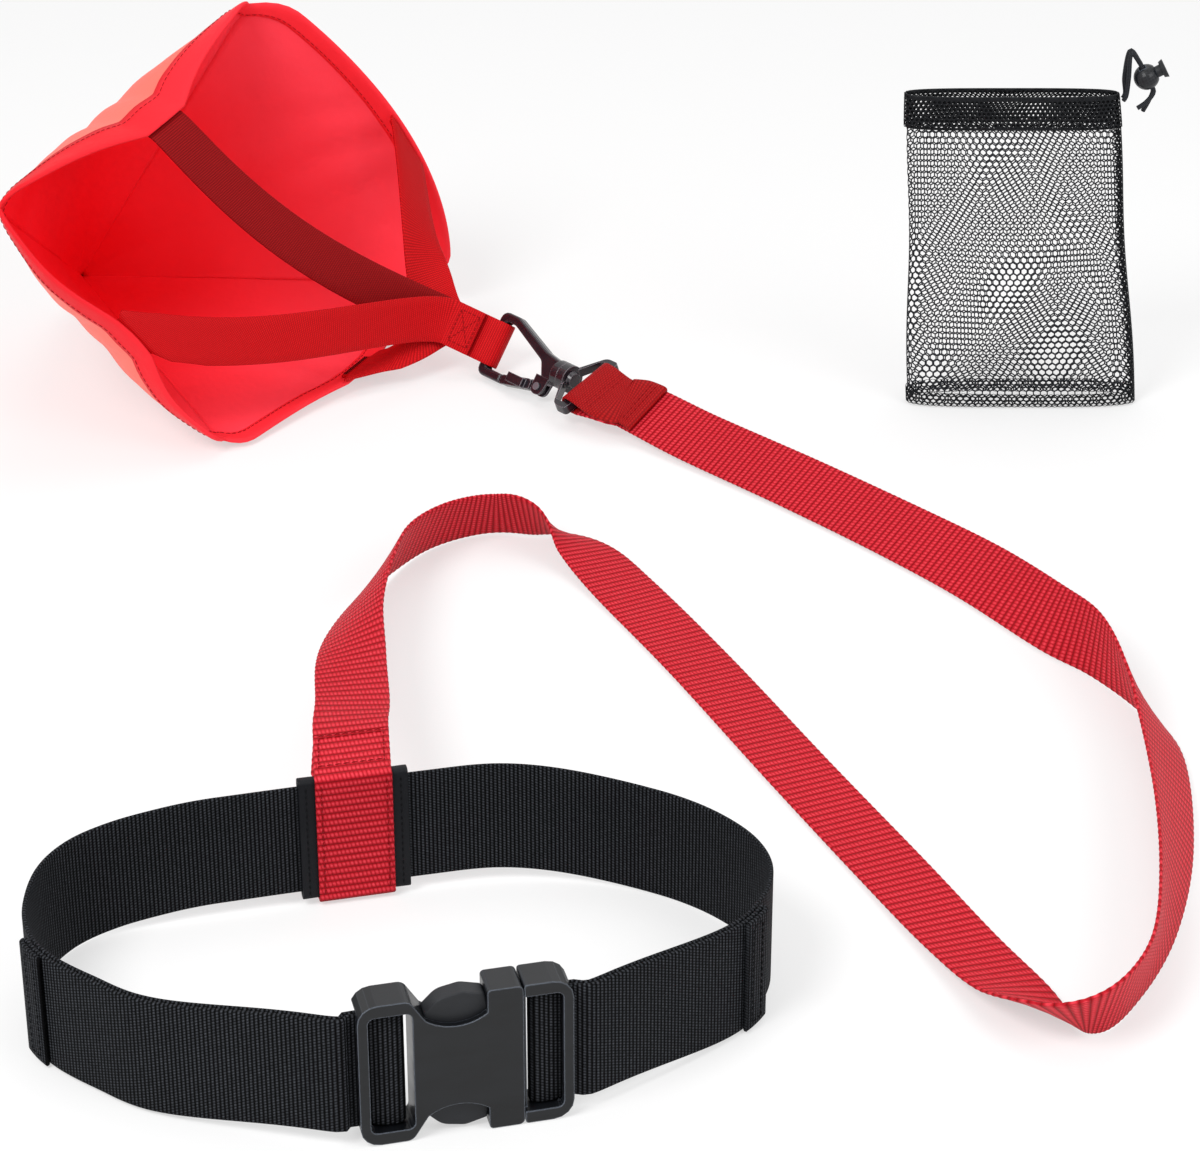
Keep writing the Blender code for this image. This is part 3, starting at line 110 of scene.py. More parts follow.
def skin(rings, sides, base=0, caps=True):
    """Faces of a tube whose rings of points follow each other, and of its two ends."""
    faces = []
    for i in range(rings - 1):
        for k in range(sides):
            a, b = base + i * sides + k, base + i * sides + (k + 1) % sides
            faces.append((a, b, b + sides, a + sides))
    if caps:
        last = base + (rings - 1) * sides
        faces.append(tuple(range(base + sides - 1, base - 1, -1)))
        faces.append(tuple(range(last, last + sides)))
    return faces


def add_object(name, data):
    obj = bpy.data.objects.new(name, data)
    scene.collection.objects.link(obj)
    return obj


def make(name, verts, faces, mats, body, replaced=(), weave=None, face_mats=None,
         merge=0):
    """A mesh piece from points in the drawing's coordinates, riding on a body."""
    mesh = bpy.data.meshes.new(name)
    mesh.from_pydata([tuple(Vector(v) + SHIFT) for v in verts], [], faces)
    for mat in mats if isinstance(mats, list) else [mats]:
        mesh.materials.append(mat)
    if face_mats:
        mesh.polygons.foreach_set("material_index", face_mats)
    if weave is not None:
        layer = mesh.attributes.new("weave", "FLOAT_VECTOR", "POINT")
        layer.data.foreach_set("vector", np.array(weave, np.float32).ravel())
    mesh.polygons.foreach_set("use_smooth", [True] * len(mesh.polygons))
    mesh.update()
    bm = bmesh.new()
    bm.from_mesh(mesh)
    bmesh.ops.recalc_face_normals(bm, faces=bm.faces)
    if merge:
        bmesh.ops.remove_doubles(bm, verts=bm.verts, dist=merge)
    bm.to_mesh(mesh)
    bm.free()
    obj = add_object(name, mesh)
    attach(obj, body)
    if replaced:
        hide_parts(*replaced)
    return obj


RIB_DEPTH = 0.2 * MM


def strap(name, stations, thick, mat, body, replaced=(), rib=None, across=9,
          pace=None):
    """Flat webbing through stations (centre, width direction, half width), with rounded
    selvedges. With a rib pitch, the stations alternate between ribs and the grooves. The pace
    stretches the weave along a step."""
    verts, weave = [], []
    u = 0.0
    centres = [station[0] for station in stations]
    normal = None
    for i, (centre, width, half) in enumerate(stations):
        if i:
            step = centre - centres[i - 1]
            u += step.length * (pace(step) if pace else 1.0)
        before = normal
        normal = heading(centres, i).cross(width).normalized()
        if before is not None and normal.dot(before) < 0:
            normal = -normal
        t = thick / 2
        if rib:
            groove = RIB_DEPTH * (0.5 - 0.5 * cos(2 * pi * u / rib))
            t -= groove
            half -= groove * 0.9
        flat = half - t * 0.8
        edge = half - t * 0.15
        face = [-flat + 2 * flat * k / (across - 1) for k in range(across)]
        profile = ([(v, t) for v in face] + [(edge, t * 0.55), (edge, -t * 0.55)]
                   + [(-v, -t) for v in face] + [(-edge, -t * 0.55), (-edge, t * 0.55)])
        for v, w in profile:
            verts.append(centre + width * v + normal * w)
            weave.append((u, v, w))
    return make(name, verts, skin(len(stations), 2 * across + 4), mat, body, replaced,
                weave)


def stitches(name, lines, mat, body, pitch=3.0 * MM, share=0.72, radius=0.28 * MM):
    """Sewing thread: each line is a list of (point, normal); short raised stitches along it."""
    verts, faces = [], []
    for line in lines:
        rows = [(*point, *normal) for point, normal in line]
        total = lengths(rows)
        count = max(1, round(total[-1] / pitch))
        for k in range(count):
            ends = [at_length(rows, total, total[-1] * f / count)
                    for f in (k, k + share * 0.5, k + share)]
            run = (Vector(ends[2][:3]) - Vector(ends[0][:3])).normalized()
            faces += skin(3, 4, len(verts))
            for row, lift, size in zip(ends, (0.1, 1.0, 0.1), (0.55, 1.0, 0.55)):
                p, n = Vector(row[:3]), Vector(row[3:]).normalized()
                side = run.cross(n).normalized()
                for c, s in ((1, 0), (0, 1), (-1, 0), (0, -1)):
                    verts.append(p + n * radius * (lift + s * size) + side * c * radius * size)
    return make(name, verts, faces, mat, body)


# Materials

def rgb(code):
    """A colour written as a hex code, in linear light."""
    out = []
    for k in (0, 2, 4):
        c = int(code[k:k + 2], 16) / 255
        out.append(c / 12.92 if c <= 0.04045 else ((c + 0.055) / 1.055) ** 2.4)
    return (*out, 1.0)


class Nodes:
    """The nodes of a material or a world, made and wired by short calls."""

    def __init__(self, owner):
        owner.use_nodes = True
        self.tree = owner.node_tree

    def feed(self, socket, value):
        """Give a socket a value or a hex colour, or wire another node's output to it."""
        if isinstance(value, bpy.types.NodeSocket):
            self.tree.links.new(value, socket)
        else:
            socket.default_value = rgb(value) if isinstance(value, str) else value

    def node(self, kind, inputs=(), **settings):
        node = self.tree.nodes.new("ShaderNode" + kind)
        for key, value in settings.items():
            setattr(node, key, value)
        for key, value in dict(inputs).items():
            self.feed(node.inputs[key], value)
        return node

    def math(self, operation, *values):
        return self.node("Math", enumerate(values), operation=operation).outputs[0]

    def times(self, a, b):
        return self.math("MULTIPLY", a, b)

    def vector(self, operation, *values):
        return self.node("VectorMath", enumerate(values), operation=operation).outputs

    def mix(self, factor, a, b):
        return self.node("Mix", {"Factor": factor, 6: a, 7: b},
                         data_type="RGBA").outputs[2]

    def split(self, vector):
        return self.node("SeparateXYZ", {0: vector}).outputs

    def geometry(self, output):
        return self.node("NewGeometry").outputs[output]

    def weave(self):
        """The weave's coordinates: along the strap, across it, and through it."""
        return self.split(self.node("Attribute", attribute_name="weave")
                          .outputs["Vector"])

    def wave(self, x, pitch=1.0):
        return self.math("SINE", self.times(x, 2 * pi / pitch))

    def noise(self, scale, detail=3.0, roughness=0.5, stretch=(1.0, 1.0, 1.0)):
        place = self.vector("MULTIPLY", self.geometry("Position"), stretch)[0]
        return self.node("TexNoise", {"Vector": place, "Scale": scale, "Detail": detail,
                                                "Roughness": roughness}).outputs[0]

    def bump(self, height, distance, strength, under=None):
        inputs = {"Distance": distance, "Strength": strength, "Height": height}
        if under is not None:
            inputs["Normal"] = under
        return self.node("Bump", inputs).outputs[0]

    def in_view(self):
        """1 for what the camera or a reflection sees, 0 for light on its way."""
        rays = self.node("LightPath").outputs
        return self.math("MAXIMUM", rays["Is Camera Ray"], rays["Is Glossy Ray"])


class Surface(Nodes):
    """A Principled material and the nodes that feed it."""

    def __init__(self, name, colour, roughness, **sockets):
        self.material = bpy.data.materials.new(name)
        super().__init__(self.material)
        self.shader = self.tree.nodes["Principled BSDF"]
        sockets.update(Base_Color=colour, Roughness=roughness)
        for key, value in sockets.items():
            self.feed(self.shader.inputs[key.replace("_", " ")], value)

    def finish(self, colour, normal, roughness=None):
        self.feed(self.shader.inputs["Base Color"], colour)
        self.feed(self.shader.inputs["Normal"], normal)
        if roughness is not None:
            self.feed(self.shader.inputs["Roughness"], roughness)
        return self.material


def webbing(name, dark, base, light, rib, cell, roughness, depth, contrast=1.0, **sockets):
    """Woven strap: ribs across the strap, each a row of short slanted threads, every second row
    half a thread on, with painted shade in the grooves and a painted highlight on the ridge tops.
    dark, base and light are hex colours: dark paints the shade and random darker patches, light
    the highlight; rib and cell are pitches."""
    g = Surface(name, base, roughness, **sockets)
    u, v, _ = g.weave()
    ribs = g.math("DIVIDE", u, rib)
    row = g.math("FLOOR", ribs)
    along = g.math("FRACT", ribs)
    step = g.times(g.math("MODULO", row, 2.0), 0.5)
    cells = g.math("ADD", g.math("ADD", g.math("DIVIDE", v, cell), step), g.times(along, 0.35))

    def hump(x):
        centred = g.math("MULTIPLY_ADD", x, 2.0, -1.0)
        return g.math("SUBTRACT", 1.0, g.times(centred, centred))

    ridge = g.math("POWER", hump(along), 0.6)
    thread = g.math("POWER", hump(g.math("FRACT", cells)), 0.7)
    height = g.times(ridge, g.math("MULTIPLY_ADD", thread, 0.45, 0.55))
    grain = g.noise(900.0, 2.0)
    # painted shade: darker in the grooves between the threads
    shade = g.times(g.math("POWER", height, 1.3), contrast)
    colour = g.mix(shade, dark, base)
    # painted highlight: the light colour on the top of each thread
    painted_highlight = g.times(g.math("POWER", height, 5.0), contrast)
    painted_highlight = g.times(painted_highlight, g.math("MULTIPLY_ADD", grain, 1.1, 0.1))
    colour = g.mix(painted_highlight, colour, light)
    uneven = g.math("MULTIPLY_ADD", g.noise(14.0), 0.5, -0.12)
    colour = g.mix(g.times(uneven, 0.5), colour, dark)
    normal = g.bump(g.math("ADD", height, g.times(grain, 0.15)), depth, 0.8)
    return g.finish(colour, normal)


MATT = {"Specular_IOR_Level": 0.12}      # woven cloth reflects little of the room
# webbing colours: painted shade in the grooves, the strap's own colour, painted highlight on the
# ridges
TETHER_RED = webbing("tether_red", "7E020A", "CE0E22", "F24C5A", 2.9 * MM, 1.7 * MM, 0.55,
                     0.5 * MM, **MATT)
HEM_RED = webbing("tether_back_red", "780408", "A80408", "C82424", 1.3 * MM, 1.7 * MM, 0.55,
                  0.15 * MM, contrast=0.8, **MATT)
BRIDLE_RED = webbing("bridle_red", "940106", "CE060E", "E81A22", 1.25 * MM, 1.1 * MM, 0.6,
                     0.15 * MM, contrast=0.9, **MATT)
# a darker copy of the bridle webbing: painted shade for the upper left strap
BRIDLE_SHADED = webbing("bridle_painted_shade_red", "5E0104", "94060B", "B01418", 1.25 * MM, 1.1 * MM, 0.65,
                      0.15 * MM, contrast=0.9, **MATT)
BELT_BLACK = webbing("belt_black", "000000", "050506", "505359", 1.7 * MM, 1.3 * MM, 0.7,
                     0.3 * MM, Specular_IOR_Level=0.05)


def yarn(name, code, other, scale, detail, share, depth, strength):
    """Matt thread with a fine grain of a second colour."""
    g = Surface(name, code, 0.55, **MATT)
    grain = g.noise(scale, detail)
    return g.finish(g.mix(g.times(grain, share), code, other),
                    g.bump(grain, depth, strength))


SEWING = ("000000", 2500.0, 1.0, 0.4, 0.1 * MM, 0.5)
RED_THREAD = yarn("red_thread", "9C0A12", *SEWING)
DARK_THREAD = yarn("dark_red_thread", "5A0508", *SEWING)
BLACK_THREAD = yarn("black_thread", "101114", *SEWING)
KNIT = (1800.0, 2.0, 0.6, 0.2 * MM, 0.6)
NET = yarn("net_black", "15161A", "3A3C42", *KNIT)
SEAM = yarn("net_seam_black", "0D0E10", "26282C", *KNIT)


def cloth(name, code, painted_left_colour):
    """Coated nylon: a fine plain weave with soft crinkles, with painted light and shade that turns
    the colour towards a second one on the left.
    """
    g = Surface(name, code, 0.5, **MATT)
    u, v, _ = g.weave()
    weave = g.times(g.wave(u, 0.45 * MM), g.wave(v, 0.45 * MM))
    # painted light and shade: by x the colour ramps to the second colour on the left, darker on the
    # inside and hem cloth, paler on the outside, mottled by noise
    depth = g.math("MULTIPLY_ADD", g.split(g.geometry("Position"))[0], -7.0, -1.05)
    shade = g.math("ADD", depth, g.math("MULTIPLY_ADD", g.noise(7.0, 2.0), 0.8, -0.4))
    shade = g.math("MINIMUM", g.math("MAXIMUM", shade, 0.0), 1.0)
    colour = g.mix(shade, code, painted_left_colour)
    normal = g.bump(weave, 0.05 * MM, 0.25, g.bump(g.noise(26.0, 4.0, 0.55), 5.0 * MM, 0.35))
    return g.finish(colour, normal)


# the outside cloth is a paler copy of the inside one, painted light as of light through the cloth
CHUTE_IN = cloth("chute_inside_red", "FF4656", "FF0012")
CHUTE_OUT_PAINTED_LIGHT = cloth("chute_outside_painted_light", "FF7466", "FF8074")
HEM_CLOTH = cloth("hem_red", "F8303C", "E0141F")


def plastic(name, code, light, roughness, grain=0.35, scale=2200.0, rim=None, **sockets):
    """Moulded plastic: fine spark-eroded grain and faint flow marks, with a painted highlight along
    the edges.
    """
    g = Surface(name, code, roughness, **sockets)
    spark = g.noise(scale, 3.0, 0.6)
    flow = g.noise(60.0, 4.0, 0.5, (1.0, 1.0, 3.0))
    # painted highlight: where the bevelled normal leaves the true one at the edges, the colour
    # turns to the rim colour, or else the light one
    edge = g.node("Bevel", {"Radius": 0.7 * MM}, samples=4).outputs[0]
    facing = g.vector("DOT_PRODUCT", edge, g.geometry("Normal"))["Value"]
    painted_edge_highlight = g.math("MINIMUM", g.times(g.math("SUBTRACT", 1.0, facing), 3.0), 1.0)
    colour = g.mix(g.times(flow, 0.35), code, light)
    colour = g.mix(g.times(painted_edge_highlight, 0.8 if rim else 0.55), colour, rim or light)
    rough = g.math("ADD", roughness - 0.06, g.times(flow, 0.14))
    normal = g.bump(spark, 0.06 * MM, grain, edge)
    return g.finish(colour, normal, rough)


# rim is the colour of the painted edge highlight
BUCKLE = plastic("buckle_satin_black", "08090B", "24272D", 0.3, rim="9AA4B4",
                 Specular_IOR_Level=0.34)
BUTTON = plastic("button_black", "17181B", "34373C", 0.5, 0.8, 1500.0, Specular_IOR_Level=0.3)
HOOK = plastic("hook_dark_grey", "120F15", "3A343C", 0.22, 0.2, rim="B4A8B2")
PIN = plastic("pin_grey", "4A464C", "A09AA2", 0.25, 0.1)


def sleeve_cloth():
    g = Surface("sleeve_black", "131417", 0.5, **MATT)
    u, v, _ = g.weave()
    twill = g.wave(g.math("ADD", u, v), 0.8 * MM)
    soft = g.noise(40.0)
    colour = g.mix(soft, "0E0F12", "1C1D21")
    return g.finish(colour, g.bump(twill, 0.06 * MM, 0.3, g.bump(soft, 1.5 * MM, 0.4)))


def braid():
    g = Surface("cord_braid_black", "111215", 0.55, **MATT)
    u, v, _ = g.weave()
    slant = g.math("DIVIDE", u, 1.6 * MM)
    crossed = g.times(g.wave(g.math("ADD", slant, v)), g.wave(g.math("SUBTRACT", slant, v)))
    plait = g.math("MULTIPLY_ADD", crossed, 0.5, 0.5)
    return g.finish(g.mix(plait, "08090A", "34363B"), g.bump(plait, 0.2 * MM, 0.7))


SLEEVE_BLACK = sleeve_cloth()
CORD = braid()


# Waist belt: the line drawn on the floor, as in the solids

BELT_WIDTH, BELT_THICK, WEB_GAP, GAP = 50 * MM, 1.8 * MM, 0.4 * MM, 0.3 * MM
MID_Z = 31 * MM
BEARING = radians(14)         # of the buckle and the sleeve
ALONG = Vector((cos(BEARING), sin(BEARING)))
OUTWARD = Vector((sin(BEARING), -cos(BEARING)))
buckle_at = Vector((-30.4, -441.7)) * MM
sleeve_at = Vector((-80.5, -288.0)) * MM
SPLIT = sleeve_at - ALONG * 20.5 * MM     # where the two halves meet, inside the sleeve
LAYER = (BELT_THICK + WEB_GAP) / 2
TURN_RADIUS = 1.5 * MM + WEB_GAP + BELT_THICK / 2
FRAME_END = 40.5 * MM         # half the buckle's length
BELT_STEP, BELT_HEM, BELT_SAG = 3.0 * MM, 14 * MM, 5.2 * MM
FACING = Vector((*OUTWARD, 0))     # towards the camera
belt_middle = (buckle_at + sleeve_at) / 2 + Vector((-12 * MM, 0))


def drop(p):
    """Height of the belt's middle, lower away from the buckle and the sleeve."""
    near = min((p - buckle_at).length, (p - sleeve_at).length)
    return MID_Z - BELT_SAG * smooth((near - 55 * MM) / (70 * MM))


def outward(path, i):
    tangent = heading(path, i)
    return toward(Vector((tangent.y, -tangent.x)), path[i] - belt_middle)


def belt_half(name, side, start, points, turn, tail, body):
    """Straight out of the sleeve, through points on the floor and straight into the buckle, round
    its bar, and back outside as the tail, whose end is folded out and sewn."""
    turn_at = buckle_at + ALONG * turn
    path = [start, sleeve_at + ALONG * side * 28 * MM] + [Vector(p) * MM for p in points]
    path += [buckle_at + ALONG * side * (FRAME_END + d * MM) for d in (12, 3, -5)] + [turn_at]
    path = [Vector(p[:2]) for p in spline([(*p, 0) for p in path], BELT_STEP)]
    away = (path[-2] - turn_at).normalized()
    run = [p for p in path if (p - turn_at).length > 16 * MM]
    run += [turn_at + away * d * MM for d in (14, 12, 10, 8, 6.5, 5, 3.5)]
    out = [outward(run, i) for i in range(len(run))]

    def off_middle(i):
        past_bar = (run[i] - turn_at).length - 3.5 * MM
        return out[i] * (LAYER + (TURN_RADIUS - LAYER) * (1 - smooth(past_bar / (7 * MM))))

    points = [p - off_middle(i) for i, p in enumerate(run)]
    points += arc(turn_at, -OUTWARD * TURN_RADIUS, -away * TURN_RADIUS, 0, 180, 16)
    length, i = 0.0, len(run) - 1
    while length < tail and i > 1:
        points.append(run[i] + off_middle(i))
        length += (run[i] - run[i - 1]).length
        i -= 1
    normal = out[i + 1]
    step = (run[i] - run[i + 1]).normalized()
    fold = run[i + 1] + normal * 2 * LAYER + step * 1 * MM
    points += arc(fold, -normal * LAYER, step * LAYER, 0, 180, 8)
    hem, done = [], 0.0
    while done < BELT_HEM and i < len(run) - 2:
        i += 1
        points.append(run[i] + out[i] * 3 * LAYER)
        hem.append((run[i], out[i]))
        done += (run[i + 1] - run[i]).length
    strap(name, [(Vector((*p, drop(p))), UP, BELT_WIDTH / 2) for p in points], BELT_THICK,
          BELT_BLACK, body, (name,), across=7)

    def on_hem(p, n, height):
        face = p + n * (3 * LAYER + BELT_THICK / 2)
        return Vector((*face, drop(p) + height)), Vector((*n, 0))

    edge = BELT_WIDTH / 2 - 3 * MM
    lines = [[on_hem(*hem[j], -edge), on_hem(*hem[j], edge)] for j in (1, -2)]
    lines += [[on_hem(p, n, height) for p, n in hem[1:-1]] for height in (-edge, edge)]
    stitches(name + "_stitching", lines, BLACK_THREAD, body)


belt_half("belt_webbing_left", -1, SPLIT,
          [(-131, -301), (-155, -307.5), (-176, -315), (-191, -326), (-200, -343),
           (-202.5, -364), (-200, -385), (-190, -404), (-170, -421), (-143, -437)],
          -25.9 * MM, 158 * MM, "belt")
belt_half("belt_webbing_right", 1, SPLIT + ALONG * GAP,
          [(-26, -275.5), (2, -275.5), (28, -281), (50, -291), (69, -306), (83, -325), (88, -346),
           (83, -368), (67, -391)], 27.9 * MM, 104 * MM, "plug_half")


# Sleeve: a flat tube of folded black cloth round the belt

SLEEVE_LENGTH = 45 * MM
SLEEVE_HALF_H = BELT_WIDTH / 2 + 3.1 * MM
SLEEVE_HALF_T = BELT_THICK / 2 + 1.6 * MM
SLEEVE_WALL = 1.2 * MM


def in_sleeve(across, up, along=0.0):
    """Point beside the sleeve: across is towards the middle of the ring, up from its centre."""
    return Vector((*(sleeve_at + OUTWARD * (LAYER + across) + ALONG * along), MID_Z + up))


def sleeve_piece():
    ring, round_by = [], 1.8 * MM
    for c, (sx, sy) in enumerate(((1, 1), (-1, 1), (-1, -1), (1, -1))):
        for k in range(5):
            a = radians(90 * c + 90 * k / 4)
            ring.append((sx * (SLEEVE_HALF_T - round_by), sy * (SLEEVE_HALF_H - round_by),
                         cos(a), sin(a)))
    # share of the length, and the swell there in half millimetres
    slices = [(-0.5, 0), (-0.494, 0.45), (-0.47, 0.5), (-0.25, 0.25), (0, 0.1), (0.25, 0.25),
              (0.47, 0.5), (0.494, 0.45), (0.5, 0)]
    verts, weave = [], []
    for wall in (0, SLEEVE_WALL):
        for f, swell in slices:
            r = round_by - wall + (0 if wall else swell * 0.5 * MM)
            for x, y, cx, cy in ring:
                px, py = x + cx * r, y + cy * r
                verts.append(in_sleeve(px, py, f * SLEEVE_LENGTH))
                weave.append((f * SLEEVE_LENGTH, py + px, 0))
    n, m = len(ring), len(slices)
    faces = skin(m, n, 0, False) + skin(m, n, n * m, False)
    for i in (0, m - 1):
        for k in range(n):
            a, b = i * n + k, i * n + (k + 1) % n
            faces.append((a, b, b + n * m, a + n * m))
    make("sleeve", verts, faces, SLEEVE_BLACK, "tether", ("sleeve",), weave)
    edge, tall = SLEEVE_LENGTH / 2 - 3 * MM, SLEEVE_HALF_H - 2 * MM
    lines = [[(in_sleeve(side * (SLEEVE_HALF_T + 0.2 * MM), up, x), FACING * side)
              for up in (-tall, tall)] for x in (-edge, edge) for side in (-1, 1)]
    stitches("sleeve_stitching", lines, BLACK_THREAD, "tether")


sleeve_piece()


# Tether: sewn round the sleeve, the free run, and the turn round the swivel base's bar

TETHER_WIDTH, TETHER_THICK, TETHER_LAP, TETHER_HEM = 32 * MM, 1.6 * MM, 24 * MM, 36 * MM
RIB = 2.9 * MM
SKEW = 0.17               # the lap leaves the sleeve a little to the right of square
ROUTE = [
    (-85, -214, 50, 0), (-89, -166, 42, -10), (-91, -113, 33, -34), (-86, -61, 25, -52),
    (-76, -15, 18, -68), (-58, 15, 15.6, -67), (-34, 28, 15.2, -63), (-12, 24, 14.6, -58),
    (11, 9, 6.5, -14), (32, -27, 2.4, 0), (66, -98, 1.4, 0), (107, -193, 1.4, 0),
    (141, -270, 1.5, 0), (165, -326, 2.8, -4), (182, -364, 6.5, -12), (197, -392, 12.6, -45),
    (216, -391, 16.2, -72), (234, -363, 16.4, -84), (249, -317, 16.5, -106), (260, -256, 16, -124),
    (265, -182, 14, -132), (258, -142, 15.8, -110), (246, -106, 16.4, -84), (229, -77, 14.9, -60),
    (201, -27, 11.8, -42), (167, 19, 10, -33), (120, 73, 9.6, -30), (71, 123, 10.6, -28),
    (41, 152, 13.6, -25)]
loop_t = SLEEVE_HALF_T + GAP + TETHER_THICK / 2
loop_h = SLEEVE_HALF_H + GAP + TETHER_THICK / 2
lap = TETHER_THICK + GAP
SWIVEL_AT = Vector((14.7, 170.0, 17.0)) * MM
SWIVEL_BEARING = radians(-48)
BASE_BAR = (5.0, 4.4)         # section of the bar that the tether turns round, in millimetres


def axes(lean):
    """Along the swivel, across it and out of its face, for a part turned by a lean in degrees."""
    b, t = SWIVEL_BEARING, radians(lean)
    x = Vector((cos(b), sin(b), 0))
    y = Vector((-sin(b), cos(b), 0)) * cos(t) + UP * sin(t)
    return x, y, x.cross(y)


base_x, base_y, base_n = axes(20)
hook_x, hook_y, hook_n = axes(55)
base_turn = math.hypot(*BASE_BAR) / 2 * MM + 0.5 * MM + TETHER_THICK / 2
sleeve_width = Vector((ALONG.x, ALONG.y, 0))


def fill(points, step):
    """Stations about a step apart along a chain of (place, width direction) corners."""
    return [(Vector(row[:3]), Vector(row[3:]).normalized())
            for row in evenly([(*place, *width) for place, width in points], step)]


def tether():
    """Stations of the loop round the sleeve, the free run, the turn round the base's bar and the
    hem with its end tucked under, and the hem's top for its stitches."""
    start_back = -loop_t - TETHER_LAP - 1.5 * MM
    corner = 2.0 * MM
    loop = [in_sleeve(start_back, loop_h - lap, -start_back * SKEW)]
    for cx, cy, r, start, turn in (
            (-loop_t - corner, loop_h - lap - corner, corner, 90, -90),
            (-loop_t + corner, -loop_h + corner, corner, 180, 90),
            (loop_t - corner, -loop_h + corner, corner, 270, 90),
            (loop_t - TETHER_THICK, loop_h - TETHER_THICK, TETHER_THICK, 0, 90)):
        loop += arc(in_sleeve(cx, cy), FACING * r, UP * r, start, turn, 6)
    loop.append(in_sleeve(start_back, loop_h, -start_back * SKEW))

    lead_back = -loop_t - TETHER_LAP - 16 * MM
    knots = [(*loop[-1], 0.0),
             (*in_sleeve(lead_back, loop_h - 2.2 * MM, -lead_back * SKEW), 0.0)]
    knots += [(x * MM, y * MM, z * MM, tilt) for x, y, z, tilt in ROUTE]
    knots.append((*(SWIVEL_AT + base_x * TETHER_HEM * 0.55 - base_n * base_turn * 0.3), -20))
    knots.append((*(SWIVEL_AT + base_x * 4 * MM - base_n * base_turn), -20))
    step = RIB / 4
    free = spline(knots, step)
    places = [Vector(row[:3]) for row in free]
    run = []
    ease = 36 * MM            # over this length the width turns into that of the sewn ends
    for i in range(1, len(free) - 1):
        ahead = heading(places, i)
        level = UP.cross(ahead).normalized()
        tilt = radians(free[i][3])
        width = level * cos(tilt) + UP * sin(tilt)
        width = (width - ahead * width.dot(ahead)).normalized()
        for sewn_width, steps in ((sleeve_width, i), (base_y, len(free) - 1 - i)):
            if steps * step < ease:
                width = (-sewn_width).lerp(width, steps * step / ease).normalized()
        run.append((places[i], -width))

    turn = [(p, base_y) for p in arc(SWIVEL_AT, base_x * base_turn, base_n * base_turn, -90, -180,
                                     12)]
    end = [(p, w) for p, w in run if (p - SWIVEL_AT).dot(base_x) < TETHER_HEM
           and (p - SWIVEL_AT).length < 60 * MM][::-1]
    places = [p for p, _ in end]
    top = []
    for i, (place, width) in enumerate(end):
        x = (place - SWIVEL_AT).dot(base_x)
        ahead = heading(places, i)
        up = toward(ahead.cross(width).normalized(), UP)
        swell = lap * smooth((x - TETHER_HEM + 14 * MM) / (6 * MM))
        apart = lap + (2 * base_turn - lap) * (1 - smooth((x - 3 * MM) / (17 * MM))) + swell
        top.append((place + up * apart, width, up))
    tip = top[-1][0]
    hem = [(p, w) for p, w, _ in top]
    hem += [(p, width) for p in arc(tip - up * lap / 2, up * lap / 2, ahead * lap * 0.6, 0, 180,
                                    6)[1:]]
    hem += [(p - n * lap, w) for p, w, n in top[:-6:-1]]
    return [(p, sleeve_width) for p in loop], run, turn + hem, top


def as_seen(step):
    """The ribs lie closer on the parts that face the camera, as the picture shows them."""
    sight = Vector((0, sin(CAMERA_TILT), -cos(CAMERA_TILT)))
    shown = (step - sight * step.dot(sight)).length / max(step.length, 1e-9)
    return 0.15 + 0.95 * shown


loop, run, hem, hem_top = tether()
half_w = TETHER_WIDTH / 2


def tether_part(name, stations, mat=TETHER_RED, replaced=(), rib=RIB, pace=as_seen):
    return strap(name, [(p, w, half_w) for p, w in stations], TETHER_THICK, mat, "tether",
                 replaced, rib, pace=pace)


tether_run = tether_part("tether_webbing_run", run, replaced=("tether_webbing",))
tether_path = [tuple(p + SHIFT) for p, _ in run[:-1:6] + run[-1:]]
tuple(tether_path[0])
round(lengths([p for p, _ in run])[-1], 3)
tether_part("tether_sleeve_loop", fill(loop, RIB / 4) + [run[0]])
hem_stations = []
for p, w in fill([run[-1]] + hem, 1.0 * MM):
    flip = hem_stations and w.dot(hem_stations[-1][1]) < 0
    hem_stations.append((p, -w if flip else w))
tether_part("tether_hook_hem", hem_stations, HEM_RED, rib=None, pace=None)


def tether_sewing():
    """Rows across the lap's two ends, along its edges down the front of the sleeve, and across
    the hem at the hook."""
    edge = half_w - 2.5 * MM

    def on_lap(back, side):
        return in_sleeve(-loop_t - back, loop_h + TETHER_THICK / 2,
                         (loop_t + back) * SKEW + side), UP

    lines = [[on_lap(back, -edge), on_lap(back, edge)]
             for back in (1.5 * MM, TETHER_LAP - 1.0 * MM, TETHER_LAP + 1.0 * MM)]
    for side in (-edge, edge):
        lines.append([on_lap(0, side), on_lap(TETHER_LAP, side)])
        lines.append([(in_sleeve(loop_t + TETHER_THICK / 2, loop_h * f, side), FACING)
                      for f in (0.9, -0.9)])
    stitches("tether_lap_stitching", lines, RED_THREAD, "tether", 3.2 * MM)
    rows = []
    for x in (11 * MM, 14 * MM, TETHER_HEM - 6 * MM, TETHER_HEM - 3 * MM):
        p, w, n = min(hem_top, key=lambda row: abs((row[0] - SWIVEL_AT).dot(base_x) - x))
        rows.append([(p + w * side + n * TETHER_THICK / 2, n) for side in (edge, -edge)])
    stitches("tether_hem_stitching", rows, RED_THREAD, "tether", 3.2 * MM,
             radius=0.2 * MM)


tether_sewing()


# Bridle and chute

CLOTH = 0.7 * MM
corners = [Vector(c) * MM for c in ((-171, 122, 2.2), (-69, 312, 16), (-161, 270, 203),
                                    (-282, 111, 144))]
apex = Vector((-272, 318, 18)) * MM
mouth_centre = sum(corners, Vector()) / 4
